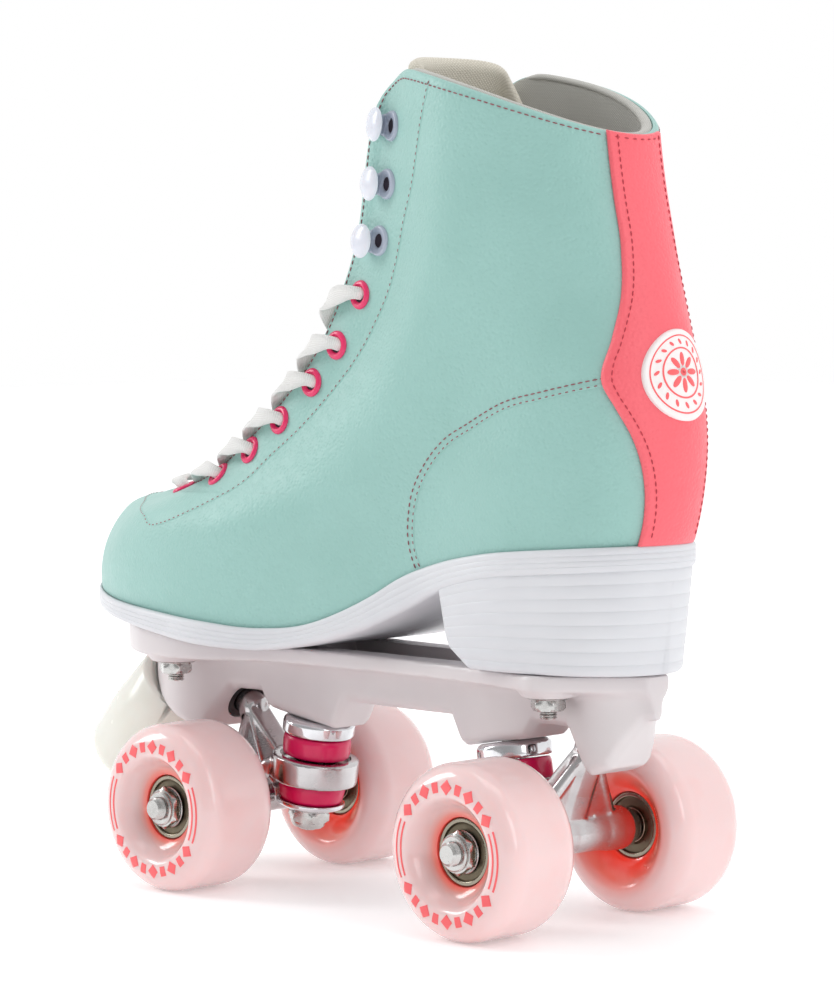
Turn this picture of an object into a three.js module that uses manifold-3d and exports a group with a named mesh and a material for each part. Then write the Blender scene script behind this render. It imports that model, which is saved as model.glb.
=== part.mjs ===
// A quad roller skate: a laced high boot on a heeled outsole, a nylon plate under it, two steering trucks
// on rubber cushions, four wheels on bearings and a bolted toe stop. Millimetres, +Z up, toe towards -X.
import * as THREE from 'three';
import { mergeVertices } from 'three/addons/utils/BufferGeometryUtils.js';
import Module from 'manifold-3d';

const wasm = await Module();
wasm.setup();

// ---- Driving dimensions --------------------------------------------------------------------------
const GAP = 0.3; // air between touching pieces
const FRAME_SHIFT_X = 16.6; // moves the middle of the skate's length onto the origin
const WHEELBASE = 142.5;
const TRACK = 80; // between the middles of a left and a right wheel
const WHEEL = { radius: 29, halfWidth: 16.5, faceRadius: 21.5, bowlRadius: 18, lip: 8 };
const HUB = { radius: 15, halfWidth: 9, seatRadius: 11.3, webRadius: 8.2, webHalf: 1.7 };
const BEARING = { outer: 11, inner: 4.15, near: 2, far: 8.8 };
const AXLE = { radius: 3.85, tip: 56.5 };
const NUT = { acrossFlats: 13, bore: 4.15, from: 9.1, height: 4.6 };
const KINGPIN = { x: 50, z: 39.5, lean: 9.75, radius: 3.9, bottom: -21.5, top: 30 };
const RING = { radius: 15.5, bore: 7.6, low: -4, high: 5 };
const PIVOT = { x: 88, z: 63.5, pin: 5, cup: 8 };
const PLATE = { top: 84.8, flange: 79.5 };
const FRONT_BOLT = { x: -89.6, y: 29.2 };
const REAR_BOLT = { x: 81, y: 19.5 };
const BOLT = { radius: 2.9, hole: 3.4, head: 5.2, headHeight: 2, end: 71 };
const STOP = { x: -146, z: 34, radius: 19, lean: 42.4, length: 42 };
const UPPER_THICKNESS = 2.2;
const LINING_THICKNESS = 2.2;
const SKIN_GAP = 0.8; // between stacked skins, whose curved faces are flat facets here
const INSOLE_THICKNESS = 3;
const TONGUE_THICKNESS = 4.5;
const LACE_RADIUS = 1.2;
const EYELET_HOLE = 2.6;
const AXLE_X = WHEELBASE / 2;
const DEG = Math.PI / 180;

// ---- Interpolation ---------------------------------------------------------------------------------
// A smooth curve through the rows of `points`; the first number of a row is where, the rest is what.
function curve(points) {
  const at = points.map((row) => row[0]);
  const value = points.map((row) => row.slice(1));
  const last = at.length - 1;
  const slope = (i) => value[i + 1].map((v, k) => (v - value[i][k]) / (at[i + 1] - at[i]));
  const tangent = value.map((_, i) => {
    if (i === 0 || i === last) return null;
    const before = at[i] - at[i - 1];
    const after = at[i + 1] - at[i];
    const a = slope(i - 1);
    const b = slope(i);
    return a.map((v, k) => (v * after + b[k] * before) / (before + after));
  });
  tangent[0] = slope(0).map((v, k) => 2 * v - tangent[1][k]);
  tangent[last] = slope(last - 1).map((v, k) => 2 * v - tangent[last - 1][k]);
  return (x) => {
    let i = 0;
    while (i < last - 1 && x > at[i + 1]) i += 1;
    const step = at[i + 1] - at[i];
    const u = Math.min(Math.max((x - at[i]) / step, 0), 1);
    const out = value[i].map((v, k) => (
      ((2 * u - 3) * u * u + 1) * v
      + ((u - 2) * u + 1) * u * step * tangent[i][k]
      + (3 - 2 * u) * u * u * value[i + 1][k]
      + (u - 1) * u * u * step * tangent[i + 1][k]
    ));
    return out.length === 1 ? out[0] : out;
  };
}

// The same, along a chain of points, from 0 at its first to 1 at its last by chord length.
function chain(points) {
  const lengths = [0];
  for (let i = 1; i < points.length; i += 1) {
    lengths.push(lengths[i - 1] + Math.hypot(...points[i].map((v, k) => v - points[i - 1][k])));
  }
  return curve(points.map((p, i) => [lengths[i] / lengths.at(-1), ...p]));
}

const clamp = (v, low, high) => Math.min(Math.max(v, low), high);
const range = (n, f) => Array.from({ length: n }, (_, i) => f(i));

// ---- Solids ----------------------------------------------------------------------------------------
function geometryOf(positions, triangles) {
  const geometry = new THREE.BufferGeometry();
  geometry.setAttribute('position', new THREE.BufferAttribute(new Float32Array(positions.flat()), 3));
  geometry.setIndex(triangles.flat());
  return geometry;
}

function signedVolume(geometry) {
  const p = geometry.attributes.position;
  const index = geometry.index.array;
  const corner = range(3, () => new THREE.Vector3());
  let volume = 0;
  for (let i = 0; i < index.length; i += 3) {
    corner.forEach((c, k) => c.fromBufferAttribute(p, index[i + k]));
    volume += corner[0].dot(corner[1].cross(corner[2]));
  }
  return volume;
}

// Turns a closed surface so that its faces point out.
function outward(geometry) {
  if (signedVolume(geometry) < 0) {
    const index = geometry.index.array;
    for (let i = 0; i < index.length; i += 3) {
      const keep = index[i];
      index[i] = index[i + 1];
      index[i + 1] = keep;
    }
  }
  return geometry;
}

function toSolid(geometry) {
  const bare = geometry.clone();
  bare.deleteAttribute('normal');
  bare.deleteAttribute('uv');
  const merged = outward(mergeVertices(bare, 1e-4));
  return new wasm.Manifold(new wasm.Mesh({
    numProp: 3,
    vertProperties: merged.attributes.position.array,
    triVerts: new Uint32Array(merged.index.array),
  }));
}

function toGeometry(solid) {
  const mesh = solid.getMesh();
  const positions = new Float32Array(mesh.numVert * 3);
  for (let i = 0; i < mesh.numVert; i += 1) {
    positions.set(mesh.vertProperties.subarray(i * mesh.numProp, i * mesh.numProp + 3), i * 3);
  }
  const geometry = new THREE.BufferGeometry();
  geometry.setAttribute('position', new THREE.BufferAttribute(positions, 3));
  geometry.setIndex(new THREE.BufferAttribute(mesh.triVerts, 1));
  return geometry;
}

const join = (...geometries) => toGeometry(geometries.map(toSolid).reduce((a, b) => a.add(b)));
const cut = (body, ...tools) => toGeometry(tools.map(toSolid).reduce((a, b) => a.subtract(b), toSolid(body)));
const common = (a, b) => toGeometry(toSolid(a).intersect(toSolid(b)));

// A solid through closed rings of points, with a fan on each end.
function loft(rings) {
  const n = rings[0].length;
  const positions = rings.flat();
  const triangles = [];
  for (let i = 0; i + 1 < rings.length; i += 1) {
    for (let j = 0; j < n; j += 1) {
      const a = i * n + j;
      const b = i * n + ((j + 1) % n);
      triangles.push([a, b, a + n], [b, b + n, a + n]);
    }
  }
  [0, rings.length - 1].forEach((i) => {
    const ring = rings[i];
    const middle = [0, 1, 2].map((k) => ring.reduce((sum, p) => sum + p[k], 0) / n);
    positions.push(middle);
    for (let j = 0; j < n; j += 1) {
      const face = [i * n + j, positions.length - 1, i * n + ((j + 1) % n)];
      triangles.push(i === 0 ? face : face.reverse());
    }
  });
  return outward(geometryOf(positions, triangles));
}

// A turned piece about Z: `profile` is a closed outline of [radius, height] points.
function turned(profile, segments, phase = 0) {
  const points = [...profile, profile[0]].map(([r, h]) => new THREE.Vector2(r, h));
  const geometry = new THREE.LatheGeometry(points, segments, phase);
  geometry.rotateX(Math.PI / 2);
  return toGeometry(toSolid(geometry));
}

function cylinder(radius, low, high, segments) {
  const geometry = new THREE.CylinderGeometry(radius, radius, high - low, segments);
  geometry.rotateX(Math.PI / 2);
  geometry.translate(0, 0, (low + high) / 2);
  return geometry;
}

const tube = (outer, inner, low, high, segments) => turned(
  [[inner, low], [outer, low], [outer, high], [inner, high]],
  segments,
);

function hexNut(acrossFlats, bore, low, high) {
  return cut(
    cylinder(acrossFlats / Math.sqrt(3), low, high, 6),
    cylinder(bore, low - 1, high + 1, 12),
  );
}

// An outline of [x, z] points, extruded between two y planes.
function slabXZ(outline, nearY, farY) {
  const shape = new THREE.Shape(outline.map(([x, z]) => new THREE.Vector2(x, z)));
  const geometry = new THREE.ExtrudeGeometry(shape, { depth: farY - nearY, bevelEnabled: false });
  geometry.rotateX(Math.PI / 2);
  geometry.translate(0, farY, 0);
  return geometry;
}

// Puts a piece made about Z onto an axis through `origin` along `direction`.
function alongAxis(geometry, origin, direction) {
  const turn = new THREE.Quaternion().setFromUnitVectors(
    new THREE.Vector3(0, 0, 1),
    new THREE.Vector3(...direction).normalize(),
  );
  const placed = geometry.clone();
  placed.applyQuaternion(turn);
  placed.translate(...origin);
  return placed;
}

// ---- Boot shape --------------------------------------------------------------------------------------
// The boot's skin is a stack of slices. Level t runs from 0 at the sole to 1 at the top line, and the
// angle phi runs from 0 at the front of the slice to +-180 degrees at its back, negative on the left.
const frontProfile = chain([
  [-155, 96], [-156, 109.5], [-146, 124], [-124.5, 131], [-99.5, 138], [-75.5, 152], [-48, 172],
  [-23.5, 197.5], [-7.5, 226.5], [-1.5, 252], [5.5, 283],
]);
const backProfile = chain([
  [116.5, 126], [120, 138], [121.5, 152], [120.5, 168], [118, 185], [114.5, 203], [109.5, 222],
  [105, 240], [102, 257],
]);
const frontPace = curve([[0, 0], [0.2, 0.2], [0.5, 0.51], [0.8, 0.82], [1, 1]]);
const backPace = curve([[0, 0], [0.2, 0.28], [0.5, 0.58], [0.8, 0.83], [1, 1]]);
const STATIONS = [0, 0.06, 0.16, 0.32, 0.5, 0.68, 0.85, 0.95, 1];
const halfWidths = curve([
  [0, 0, 26, 39.5, 45, 36, 30, 31, 22.5, 0],
  [0.12, 0, 21, 40, 46, 39, 32, 32, 22.5, 0],
  [0.3, 0, 19, 33, 37, 38, 33, 29.5, 20.5, 0],
  [0.5, 0, 23.5, 31, 32, 36, 33, 26, 16, 0],
  [0.75, 0, 25.5, 29.5, 33, 38, 34, 25, 15, 0],
  [1, 0, 26, 28.5, 35.5, 38.5, 35, 25.5, 15, 0],
].map(([t, ...widths]) => [t, ...widths.map((w) => w * w)]));
const featherLine = curve([
  [-155, 101], [-120, 97.6], [-85, 95.2], [-60, 93.3], [-35, 92.2], [-18, 94], [0, 99.8], [12, 105.2],
  [25, 112], [40, 117.3], [60, 121.6], [93, 125], [118, 126.5],
]);
const TOE_SWING = 5;
const TOP_LINE_RISE = 4.5;
const FLAT_LEVEL = 0.5; // above this level the slices no longer follow the sole's curve
const THROAT = 0.235; // level where the lacing opening starts
const THROAT_ROUND = 0.1;
const openingHalf = curve([[0.25, 26], [0.42, 29.5], [0.68, 28.5], [1, 26.5]]);

const ease = (u) => u * u * (3 - 2 * u);

// Inset by depth: the slice shrinks towards its middle, by depth at its front, back and widest place.
function bootPoint(t, phi, depth = 0) {
  const level = clamp(t, 0, 1);
  const s = (1 - Math.cos(phi)) / 2;
  const front = frontProfile(frontPace(level));
  const back = backProfile(backPace(level));
  const width = curve(halfWidths(level).map((g, i) => [STATIONS[i], g]));
  const half = Math.sqrt(Math.max(width(s), 0));
  const footX = frontProfile(0)[0] * (1 - s) + backProfile(0)[0] * s;
  const footZ = frontProfile(0)[1] * (1 - s) + backProfile(0)[1] * s;
  const fade = 1 - ease(clamp(level / FLAT_LEVEL, 0, 1));
  let x = front[0] * (1 - s) + back[0] * s;
  let z = front[1] * (1 - s) + back[1] * s + (featherLine(footX) - footZ) * fade;
  z += TOP_LINE_RISE * Math.sin(Math.PI * s) * level ** 6;
  const swing = TOE_SWING * clamp(-x / 150, 0, 1) ** 2 * (1 - level);
  const side = Math.abs(phi) < 1e-9 || Math.PI - Math.abs(phi) < 1e-9 ? 0 : Math.sign(phi);
  const inset = insetDirection(level);
  const atFront = (1 - s) ** 1.5;
  const atBack = s ** 1.5;
  x += depth * (inset.front[0] * atFront + inset.back[0] * atBack);
  z += depth * inset.front[1] * atFront;
  const y = swing + side * half * (1 - depth / 36);
  if (t > 1) z += (t - 1) * 190;
  return [x, y, z];
}

// Unit vectors into the boot from its front and back profiles at a level.
function insetDirection(level) {
  const step = 0.01;
  const low = clamp(level - step, 0, 1);
  const high = clamp(level + step, 0, 1);
  const a = frontProfile(frontPace(low));
  const b = frontProfile(frontPace(high));
  const length = Math.hypot(b[0] - a[0], b[1] - a[1]);
  const rise = clamp(level / 0.1, 0, 1);
  return { front: [(b[1] - a[1]) / length, (-(b[0] - a[0]) / length) * rise], back: [-1, 0] };
}

// The angle where the slice's half width first reaches `half`.
function angleAtHalfWidth(t, half) {
  const middle = bootPoint(t, 0)[1];
  let low = 0;
  let high = 1.2;
  for (let i = 0; i < 30; i += 1) {
    const phi = (low + high) / 2;
    if (bootPoint(t, phi)[1] - middle < half) low = phi;
    else high = phi;
  }
  return (low + high) / 2;
}

function edgeAngle(t) {
  if (t <= THROAT) return 0;
  const u = clamp((t - THROAT) / THROAT_ROUND, 0, 1);
  return angleAtHalfWidth(t, Math.sqrt(1 - (1 - u) ** 2) * openingHalf(clamp(t, 0.25, 1)));
}

// The angle at a distance along the skin from a starting angle, forwards or backwards.
function angleAtDistance(t, start, distance, towards) {
  let phi = start;
  let gone = 0;
  let here = bootPoint(t, phi);
  while (gone < distance) {
    phi += towards * 0.004;
    const next = bootPoint(t, phi);
    gone += Math.hypot(...next.map((v, k) => v - here[k]));
    here = next;
  }
  return phi;
}

const BOOT_LEVELS = [0, 0.06, 0.12, 0.18, THROAT, 0.252, 0.285, 0.34, 0.42, 0.51, 0.61, 0.72, 0.84, 0.93, 1];
const BOOT_COLUMNS = 30;
const FLAP_CORNER = 0.14; // how far the flaps' top corners are rounded down, in level
const FLAP_CORNER_WIDTH = 0.62; // the same, in angle

function levelWithCorner(level, phi, edge) {
  const near = clamp((Math.abs(phi) - edge) / FLAP_CORNER_WIDTH, 0, 1);
  const drop = FLAP_CORNER * (1 - Math.sqrt(1 - (1 - near) ** 2));
  return level - drop * clamp((level - 0.75) / 0.25, 0, 1);
}

// A skin between two depths, open at the top and along the throat, standing on the sole.
function bootShell(outerDepth, innerDepth) {
  const layers = [outerDepth, innerDepth].map((depth) => BOOT_LEVELS.map((level) => {
    const edge = edgeAngle(level);
    return range(BOOT_COLUMNS + 1, (j) => {
      const phi = edge + (2 * Math.PI - 2 * edge) * (j / BOOT_COLUMNS);
      const signed = phi <= Math.PI ? -phi : 2 * Math.PI - phi;
      const p = bootPoint(levelWithCorner(level, signed, edge), signed, depth);
      if (level === 0) p[2] = featherLine(p[0]) + GAP;
      p[2] += GAP;
      return p;
    });
  }));
  const rows = BOOT_LEVELS.length;
  const columns = BOOT_COLUMNS + 1;
  const vertex = (layer, i, j) => (layer * rows + i) * columns + j;
  const triangles = [];
  const quad = (a, b, c, d) => triangles.push([a, b, c], [a, c, d]);
  for (let i = 0; i + 1 < rows; i += 1) {
    for (let j = 0; j + 1 < columns; j += 1) {
      const outer = [vertex(0, i, j), vertex(0, i, j + 1), vertex(0, i + 1, j + 1), vertex(0, i + 1, j)];
      const inner = [vertex(1, i, j), vertex(1, i + 1, j), vertex(1, i + 1, j + 1), vertex(1, i, j + 1)];
      if (j < BOOT_COLUMNS / 2) {
        outer.push(outer.shift());
        inner.push(inner.shift());
      }
      quad(...outer);
      quad(...inner);
    }
    if (BOOT_LEVELS[i] >= THROAT) {
      quad(vertex(0, i, 0), vertex(0, i + 1, 0), vertex(1, i + 1, 0), vertex(1, i, 0));
      const j = columns - 1;
      quad(vertex(0, i, j), vertex(1, i, j), vertex(1, i + 1, j), vertex(0, i + 1, j));
    }
  }
  for (let j = 0; j + 1 < columns; j += 1) {
    quad(vertex(0, 0, j), vertex(1, 0, j), vertex(1, 0, j + 1), vertex(0, 0, j + 1));
    const i = rows - 1;
    quad(vertex(0, i, j), vertex(0, i, j + 1), vertex(1, i, j + 1), vertex(1, i, j));
  }
  return toGeometry(toSolid(geometryOf(layers.flat(2), triangles)));
}

// A patch of skin between two depths, each a function of level: rows and columns of [level, angle] pairs.
function bootPatch(grid, outerDepth, innerDepth) {
  const rings = grid.map((row) => [
    ...row.map(([t, phi]) => bootPoint(t, phi, outerDepth(t))),
    ...row.map(([t, phi]) => bootPoint(t, phi, innerDepth(t))).reverse(),
  ]).map((ring) => ring.map(([x, y, z]) => [x, y, z + GAP]));
  return toGeometry(toSolid(loft(rings)));
}

// ---- Eyelets and lace --------------------------------------------------------------------------------
// [level, distance from the flap's edge], from the toe up.
const EYELETS = [[0.25, 17], [0.3, 15], [0.357, 13.5], [0.421, 13.5], [0.501, 13.2], [0.574, 13.2],
  [0.661, 13.8]];
const FLAP_DEPTH = UPPER_THICKNESS + SKIN_GAP + LINING_THICKNESS;
const OVER_FLAP = -3.4;
const UNDER_FLAP = FLAP_DEPTH + 1.9;

const eyeletAngle = ([t, distance]) => angleAtDistance(t, edgeAngle(t), distance, 1);

function eyeletHoles() {
  return EYELETS.flatMap((eyelet) => [-1, 1].map((side) => {
    const phi = side * eyeletAngle(eyelet);
    const outside = bootPoint(eyelet[0], phi, -4);
    const inside = bootPoint(eyelet[0], phi, FLAP_DEPTH + 4);
    const direction = inside.map((v, k) => v - outside[k]);
    outside[2] += GAP;
    return alongAxis(cylinder(EYELET_HOLE, 0, Math.hypot(...direction), 6), outside, direction);
  }));
}

// Points of the criss-cross lacing. Each run leaves an eyelet underneath, crosses the gap and comes over
// the other flap's edge down into the next eyelet.
function laceRoute() {
  const at = (side, t, phi, depth) => {
    const p = bootPoint(t, side * phi, depth);
    return new THREE.Vector3(p[0], p[1], p[2] + GAP);
  };
  const insideGap = (t, distance) => edgeAngle(t) * (1 - distance / openingHalf(clamp(t, 0.25, 1)));
  const run = (side, i, overCrossing) => {
    const [t0] = EYELETS[i];
    const [t1] = EYELETS[i + 1];
    const mix = (u) => t0 + (t1 - t0) * u;
    return [
      at(side, t0, eyeletAngle(EYELETS[i]), UNDER_FLAP),
      at(side, mix(0.25), insideGap(mix(0.25), 4), UNDER_FLAP - 0.4),
      at(side, mix(0.5), 0, overCrossing ? 0.4 : 3.8),
      at(-side, mix(0.75), insideGap(mix(0.75), 4), -2.4),
      at(-side, t1, eyeletAngle(EYELETS[i + 1]), OVER_FLAP),
    ];
  };
  const half = (side) => {
    const points = [];
    let from = side;
    for (let i = 0; i + 1 < EYELETS.length; i += 1) {
      points.push(...run(from, i, side < 0));
      from = -from;
    }
    const [t] = EYELETS.at(-1);
    const phi = eyeletAngle(EYELETS.at(-1));
    points.push(
      at(from, t, phi, UNDER_FLAP),
      at(from, t - 0.03, phi + 0.14, UNDER_FLAP),
      at(from, t - 0.11, phi + 0.16, UNDER_FLAP),
    );
    return points;
  };
  const [t] = EYELETS[0];
  const phi = eyeletAngle(EYELETS[0]);
  const bar = [
    at(-1, t, phi, OVER_FLAP),
    at(-1, t, edgeAngle(t) * 0.7, -2.4),
    at(1, t, edgeAngle(t) * 0.7, -2.4),
    at(1, t, phi, OVER_FLAP),
  ];
  return [...half(-1).reverse(), ...bar, ...half(1)];
}

// A route whose ring positions are exactly its points.
class Route extends THREE.CatmullRomCurve3 {
  getPointAt(u) {
    return this.getPoint(u);
  }

  getTangentAt(u) {
    return this.getTangent(u);
  }

  getSpacedPoints(divisions) {
    return this.getPoints(divisions);
  }
}

function lace() {
  const points = laceRoute();
  const sides = range(8, (i) => new THREE.Vector2(
    LACE_RADIUS * Math.cos((i * Math.PI) / 4),
    LACE_RADIUS * Math.sin((i * Math.PI) / 4),
  ));
  const route = new Route(points, false, 'centripetal');
  return new THREE.ExtrudeGeometry(new THREE.Shape(sides), { steps: points.length - 1, extrudePath: route });
}

// ---- Tongue, back stay, badge, insole ----------------------------------------------------------------
// The tongue lies deep under the lacing, and close behind the open flaps and wide above it.
const aboveLacing = (t) => ease(clamp((t - 0.72) / 0.16, 0, 1));
const tongueDepth = (t) => 11 - 2.6 * aboveLacing(t);
const tongueTuck = (t) => 7 + 13 * aboveLacing(t); // its reach under each flap

function tongue() {
  const levels = [0.262, 0.3, 0.36, 0.43, 0.5, 0.58, 0.66, 0.75, 0.84, 0.92, 0.98, 1.02];
  const grid = levels.map((t) => {
    const reach = angleAtDistance(t, edgeAngle(t), tongueTuck(t), 1);
    return range(11, (j) => {
      const across = j / 5 - 1;
      const shoulder = 0.09 * aboveLacing(t) * across ** 4;
      return [t - shoulder, across * reach];
    });
  });
  return bootPatch(grid, tongueDepth, (t) => tongueDepth(t) + TONGUE_THICKNESS);
}

const backStayHalf = curve([[0, 13.3], [0.1, 14.4], [0.19, 18.3], [0.255, 22.8], [0.318, 26.2], [0.43, 21],
  [0.53, 16.1], [0.67, 13.1], [0.81, 12.6], [1, 12.5]]);

function backStay() {
  const levels = [0.012, 0.1, 0.19, 0.255, 0.318, 0.37, 0.43, 0.48, 0.53, 0.6, 0.7, 0.85, 1];
  const grid = levels.map((t) => {
    const reach = Math.PI - angleAtDistance(t, Math.PI, backStayHalf(t), -1);
    return range(11, (j) => [t, Math.PI + reach * (j / 5 - 1)]).map(([level, phi]) => [
      level,
      phi <= Math.PI ? -phi : 2 * Math.PI - phi,
    ]);
  });
  return bootPatch(grid, () => -SKIN_GAP - 1.2, () => -SKIN_GAP);
}

const BADGE = { level: 0.33, radius: 14.8, depth: -SKIN_GAP - 1.2 - 0.5, thickness: 0.9 };

// A round patch: parallel rows across a disc, each as wide as the disc is there.
function heelBadge() {
  const rise = 0.0079; // level for each millimetre up the back
  const rows = range(7, (i) => Math.cos(((6 - i) * Math.PI) / 6) * 0.985);
  const grid = rows.map((v) => {
    const t = BADGE.level + v * BADGE.radius * rise;
    const half = BADGE.radius * Math.sqrt(1 - v * v);
    const reach = Math.PI - angleAtDistance(t, Math.PI, half, -1);
    return range(7, (j) => [t, Math.PI + reach * (j / 3 - 1)]).map(([level, phi]) => [
      level,
      phi <= Math.PI ? -phi : 2 * Math.PI - phi,
    ]);
  });
  return bootPatch(grid, () => BADGE.depth - BADGE.thickness, () => BADGE.depth);
}

const SLAB_END = 0.1; // angle from the toe's and the heel's tip where a slab ends square

// A slab with the foot's outline: each station, at one of the boot's columns, is a ring across the foot.
function footSlab(depth, top, bottom, edgeSwell, widen = 0) {
  const half = BOOT_COLUMNS / 2;
  const angles = [SLAB_END, ...range(half - 1, (i) => ((i + 1) * Math.PI) / half), Math.PI - SLAB_END];
  const rings = angles.map((phi) => {
    const near = bootPoint(0, -phi, depth);
    const far = bootPoint(0, phi, depth);
    const x = near[0];
    const middle = (top(x) + bottom(x)) / 2;
    const left = near[1] - widen;
    const right = far[1] + widen;
    return [
      [x, left, top(x)], [x, left - edgeSwell, middle], [x, left, bottom(x)],
      [x, right, bottom(x)], [x, right + edgeSwell, middle], [x, right, top(x)],
    ];
  });
  return toGeometry(toSolid(loft(rings)));
}

function boltHoles(bolts, radius, low, high) {
  return bolts.flatMap(({ x, y }) => [-1, 1].map((side) => {
    const hole = cylinder(radius, low, high, 8);
    hole.translate(x, side * y, 0);
    return hole;
  }));
}

const BOLTS = [FRONT_BOLT, REAR_BOLT];

function insole() {
  const slab = footSlab(
    6.2,
    (x) => featherLine(x) + SKIN_GAP + INSOLE_THICKNESS,
    (x) => featherLine(x) + SKIN_GAP,
    0.2,
  );
  return cut(slab, ...boltHoles(BOLTS, BOLT.head + 0.8, 60, 160));
}

// ---- Outsole and heel ----------------------------------------------------------------------------------
const SOLE_OVERHANG = -1.4;
const soleBottom = curve([
  [-157, 96], [-140, 94], [-123, 92], [-105, 90.3], [-85, 88.2], [-64, 85.9], [-46, 85.1], [-32, 85.4],
  [-18, 87.8], [-6, 90.5], [3, 93], [25, 101.7], [42, 109.4], [60, 114], [93, 117.5], [119, 119],
]);

function outsole() {
  const slab = footSlab(SOLE_OVERHANG, featherLine, soleBottom, 0.5);
  return cut(slab, ...boltHoles(BOLTS, BOLT.hole, 60, 160));
}

const HEEL = { bottom: PLATE.top + GAP, taper: 4 };
const heelBreast = curve([[85, 57.5], [88, 52], [91, 47.4], [95, 45.6], [102, 44.2], [113, 42.3]]);

function heelBlock() {
  const levels = [0, 0.12, 0.3, 0.6, 1];
  const rings = range(14, (i) => {
    const u = i / 13;
    const side = (sign) => levels.map((v) => {
      const height = HEEL.bottom + v * 24;
      const from = heelBreast(height);
      const shrink = HEEL.taper * (1 - v);
      const phiFrom = stationAngle(from);
      const phi = phiFrom + (Math.PI - 0.12 - phiFrom) * u;
      const p = bootPoint(0, sign * phi, SOLE_OVERHANG + 0.3);
      const x = p[0] - shrink * clamp((p[0] - 60) / 60, 0, 1);
      const z = HEEL.bottom + (soleBottom(x) + 1 - HEEL.bottom) * v;
      return [x, p[1] - sign * shrink * 0.35, z];
    });
    return [...side(-1), ...side(1).reverse()];
  });
  const sole = footSlab(SOLE_OVERHANG, (x) => soleBottom(x) + 9, (x) => soleBottom(x) - GAP, 0, 5);
  return cut(loft(rings), sole, ...boltHoles([REAR_BOLT], BOLT.hole, 60, 160));
}

// The sole outline's angle where it reaches a given x.
function stationAngle(x) {
  let low = 0;
  let high = Math.PI;
  for (let i = 0; i < 30; i += 1) {
    const phi = (low + high) / 2;
    if (bootPoint(0, phi, SOLE_OVERHANG)[0] < x) low = phi;
    else high = phi;
  }
  return (low + high) / 2;
}

// ---- Plate ---------------------------------------------------------------------------------------------
const flangeHalf = curve([
  [-130, 12], [-126, 18.5], [-118, 26], [-109, 32.5], [-100, 37.5], [-88, 40.5], [-75, 40.5], [-66, 37.5],
  [-56, 31], [-45, 26.5], [-30, 24.5], [0, 23], [30, 23], [45, 24], [60, 26], [75, 29], [84, 30],
  [90, 25.5], [98, 17.5], [106, 9.5], [111, 5],
]);
const keelHalf = curve([
  [-130, 2], [-124, 8], [-112, 16], [-100, 18.5], [-92, 16.5], [-83, 12], [-73, 10.5], [-62, 11.5],
  [-50, 11.5], [-30, 9.5], [0, 9], [30, 9.5], [50, 11.5], [62, 11.5], [73, 10.5], [83, 12], [92, 13],
  [100, 10], [108, 3.5], [111, 2],
]);
const KEEL_PROFILE = [
  [-130, 75], [-124, 66.5], [-114, 59.5], [-104, 54.5], [-97, 52.3], [-91, 51.5], [-81.5, 66.3],
  [-66, 66.3], [-62, 60.9], [-31.5, 55.7], [-26, 65.5], [26, 65.5], [31.5, 55.7], [62, 60.9], [66, 66.3],
  [81.5, 66.3], [91, 51.5], [98, 54], [105, 66], [111, 76],
];

const KEEL_HIGHEST = 70; // where the keel runs out under the flange

function keelBottom(x) {
  let i = 0;
  while (i < KEEL_PROFILE.length - 2 && x > KEEL_PROFILE[i + 1][0]) i += 1;
  const [[x0, z0], [x1, z1]] = KEEL_PROFILE.slice(i, i + 2);
  return z0 + ((z1 - z0) * clamp((x - x0) / (x1 - x0), 0, 1));
}

const plateTop = (x) => Math.max(PLATE.top, x < -46 ? soleBottom(x) - GAP : 0);

// The plate's outside; `grow` makes the cutter that keeps a neighbour clear of it.
function plateBody(grow) {
  const stations = [...new Set([
    ...KEEL_PROFILE.map(([x]) => x), -127, -119, -109, -86, -75, -52, -42, -13, 0, 13, 42, 52, 75, 86,
  ])].sort((a, b) => a - b);
  const last = stations.length - 1;
  const rings = stations.map((at, i) => {
    const x = at - (i === 0 ? grow : 0) + (i === last ? grow : 0);
    const w = flangeHalf(x) + grow;
    const k = keelHalf(x) + grow;
    const b = Math.min(keelBottom(x), KEEL_HIGHEST) - grow;
    const shoulder = Math.min(k + 2.2, w - 0.5);
    const half = [
      [w, plateTop(x)], [w, PLATE.flange - grow], [shoulder, PLATE.flange - 1.2 - grow],
      [k, PLATE.flange - 6 - grow], [k, Math.min(b + 3, KEEL_HIGHEST + 2 - grow)],
      [Math.max(k - 3, 1 + grow), b],
    ];
    return [
      ...half.map(([y, z]) => [x, -y, z]),
      ...half.map(([y, z]) => [x, y, z]).reverse(),
    ];
  });
  return toGeometry(toSolid(loft(rings)));
}

const kingpinAxis = (end) => [-end * Math.sin(KINGPIN.lean * DEG), 0, Math.cos(KINGPIN.lean * DEG)];
const kingpinCentre = (end) => [end * KINGPIN.x, 0, KINGPIN.z];
const onKingpin = (geometry, end) => alongAxis(geometry, kingpinCentre(end), kingpinAxis(end));
const pivotPoint = (end) => [end * PIVOT.x, 0, PIVOT.z];
const pivotAxis = (end) => [end * (KINGPIN.x - PIVOT.x), 0, KINGPIN.z - PIVOT.z];
const onPivot = (geometry, end) => alongAxis(geometry, pivotPoint(end), pivotAxis(end));
const stopAxis = [Math.sin(STOP.lean * DEG), 0, Math.cos(STOP.lean * DEG)];
const onStop = (geometry) => alongAxis(geometry, [STOP.x, 0, STOP.z], stopAxis);

const RETAINER = { radius: 12.7, low: 13, high: 19 };
const STOP_BOLT = { radius: 4, low: 8, high: 50 };

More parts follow.
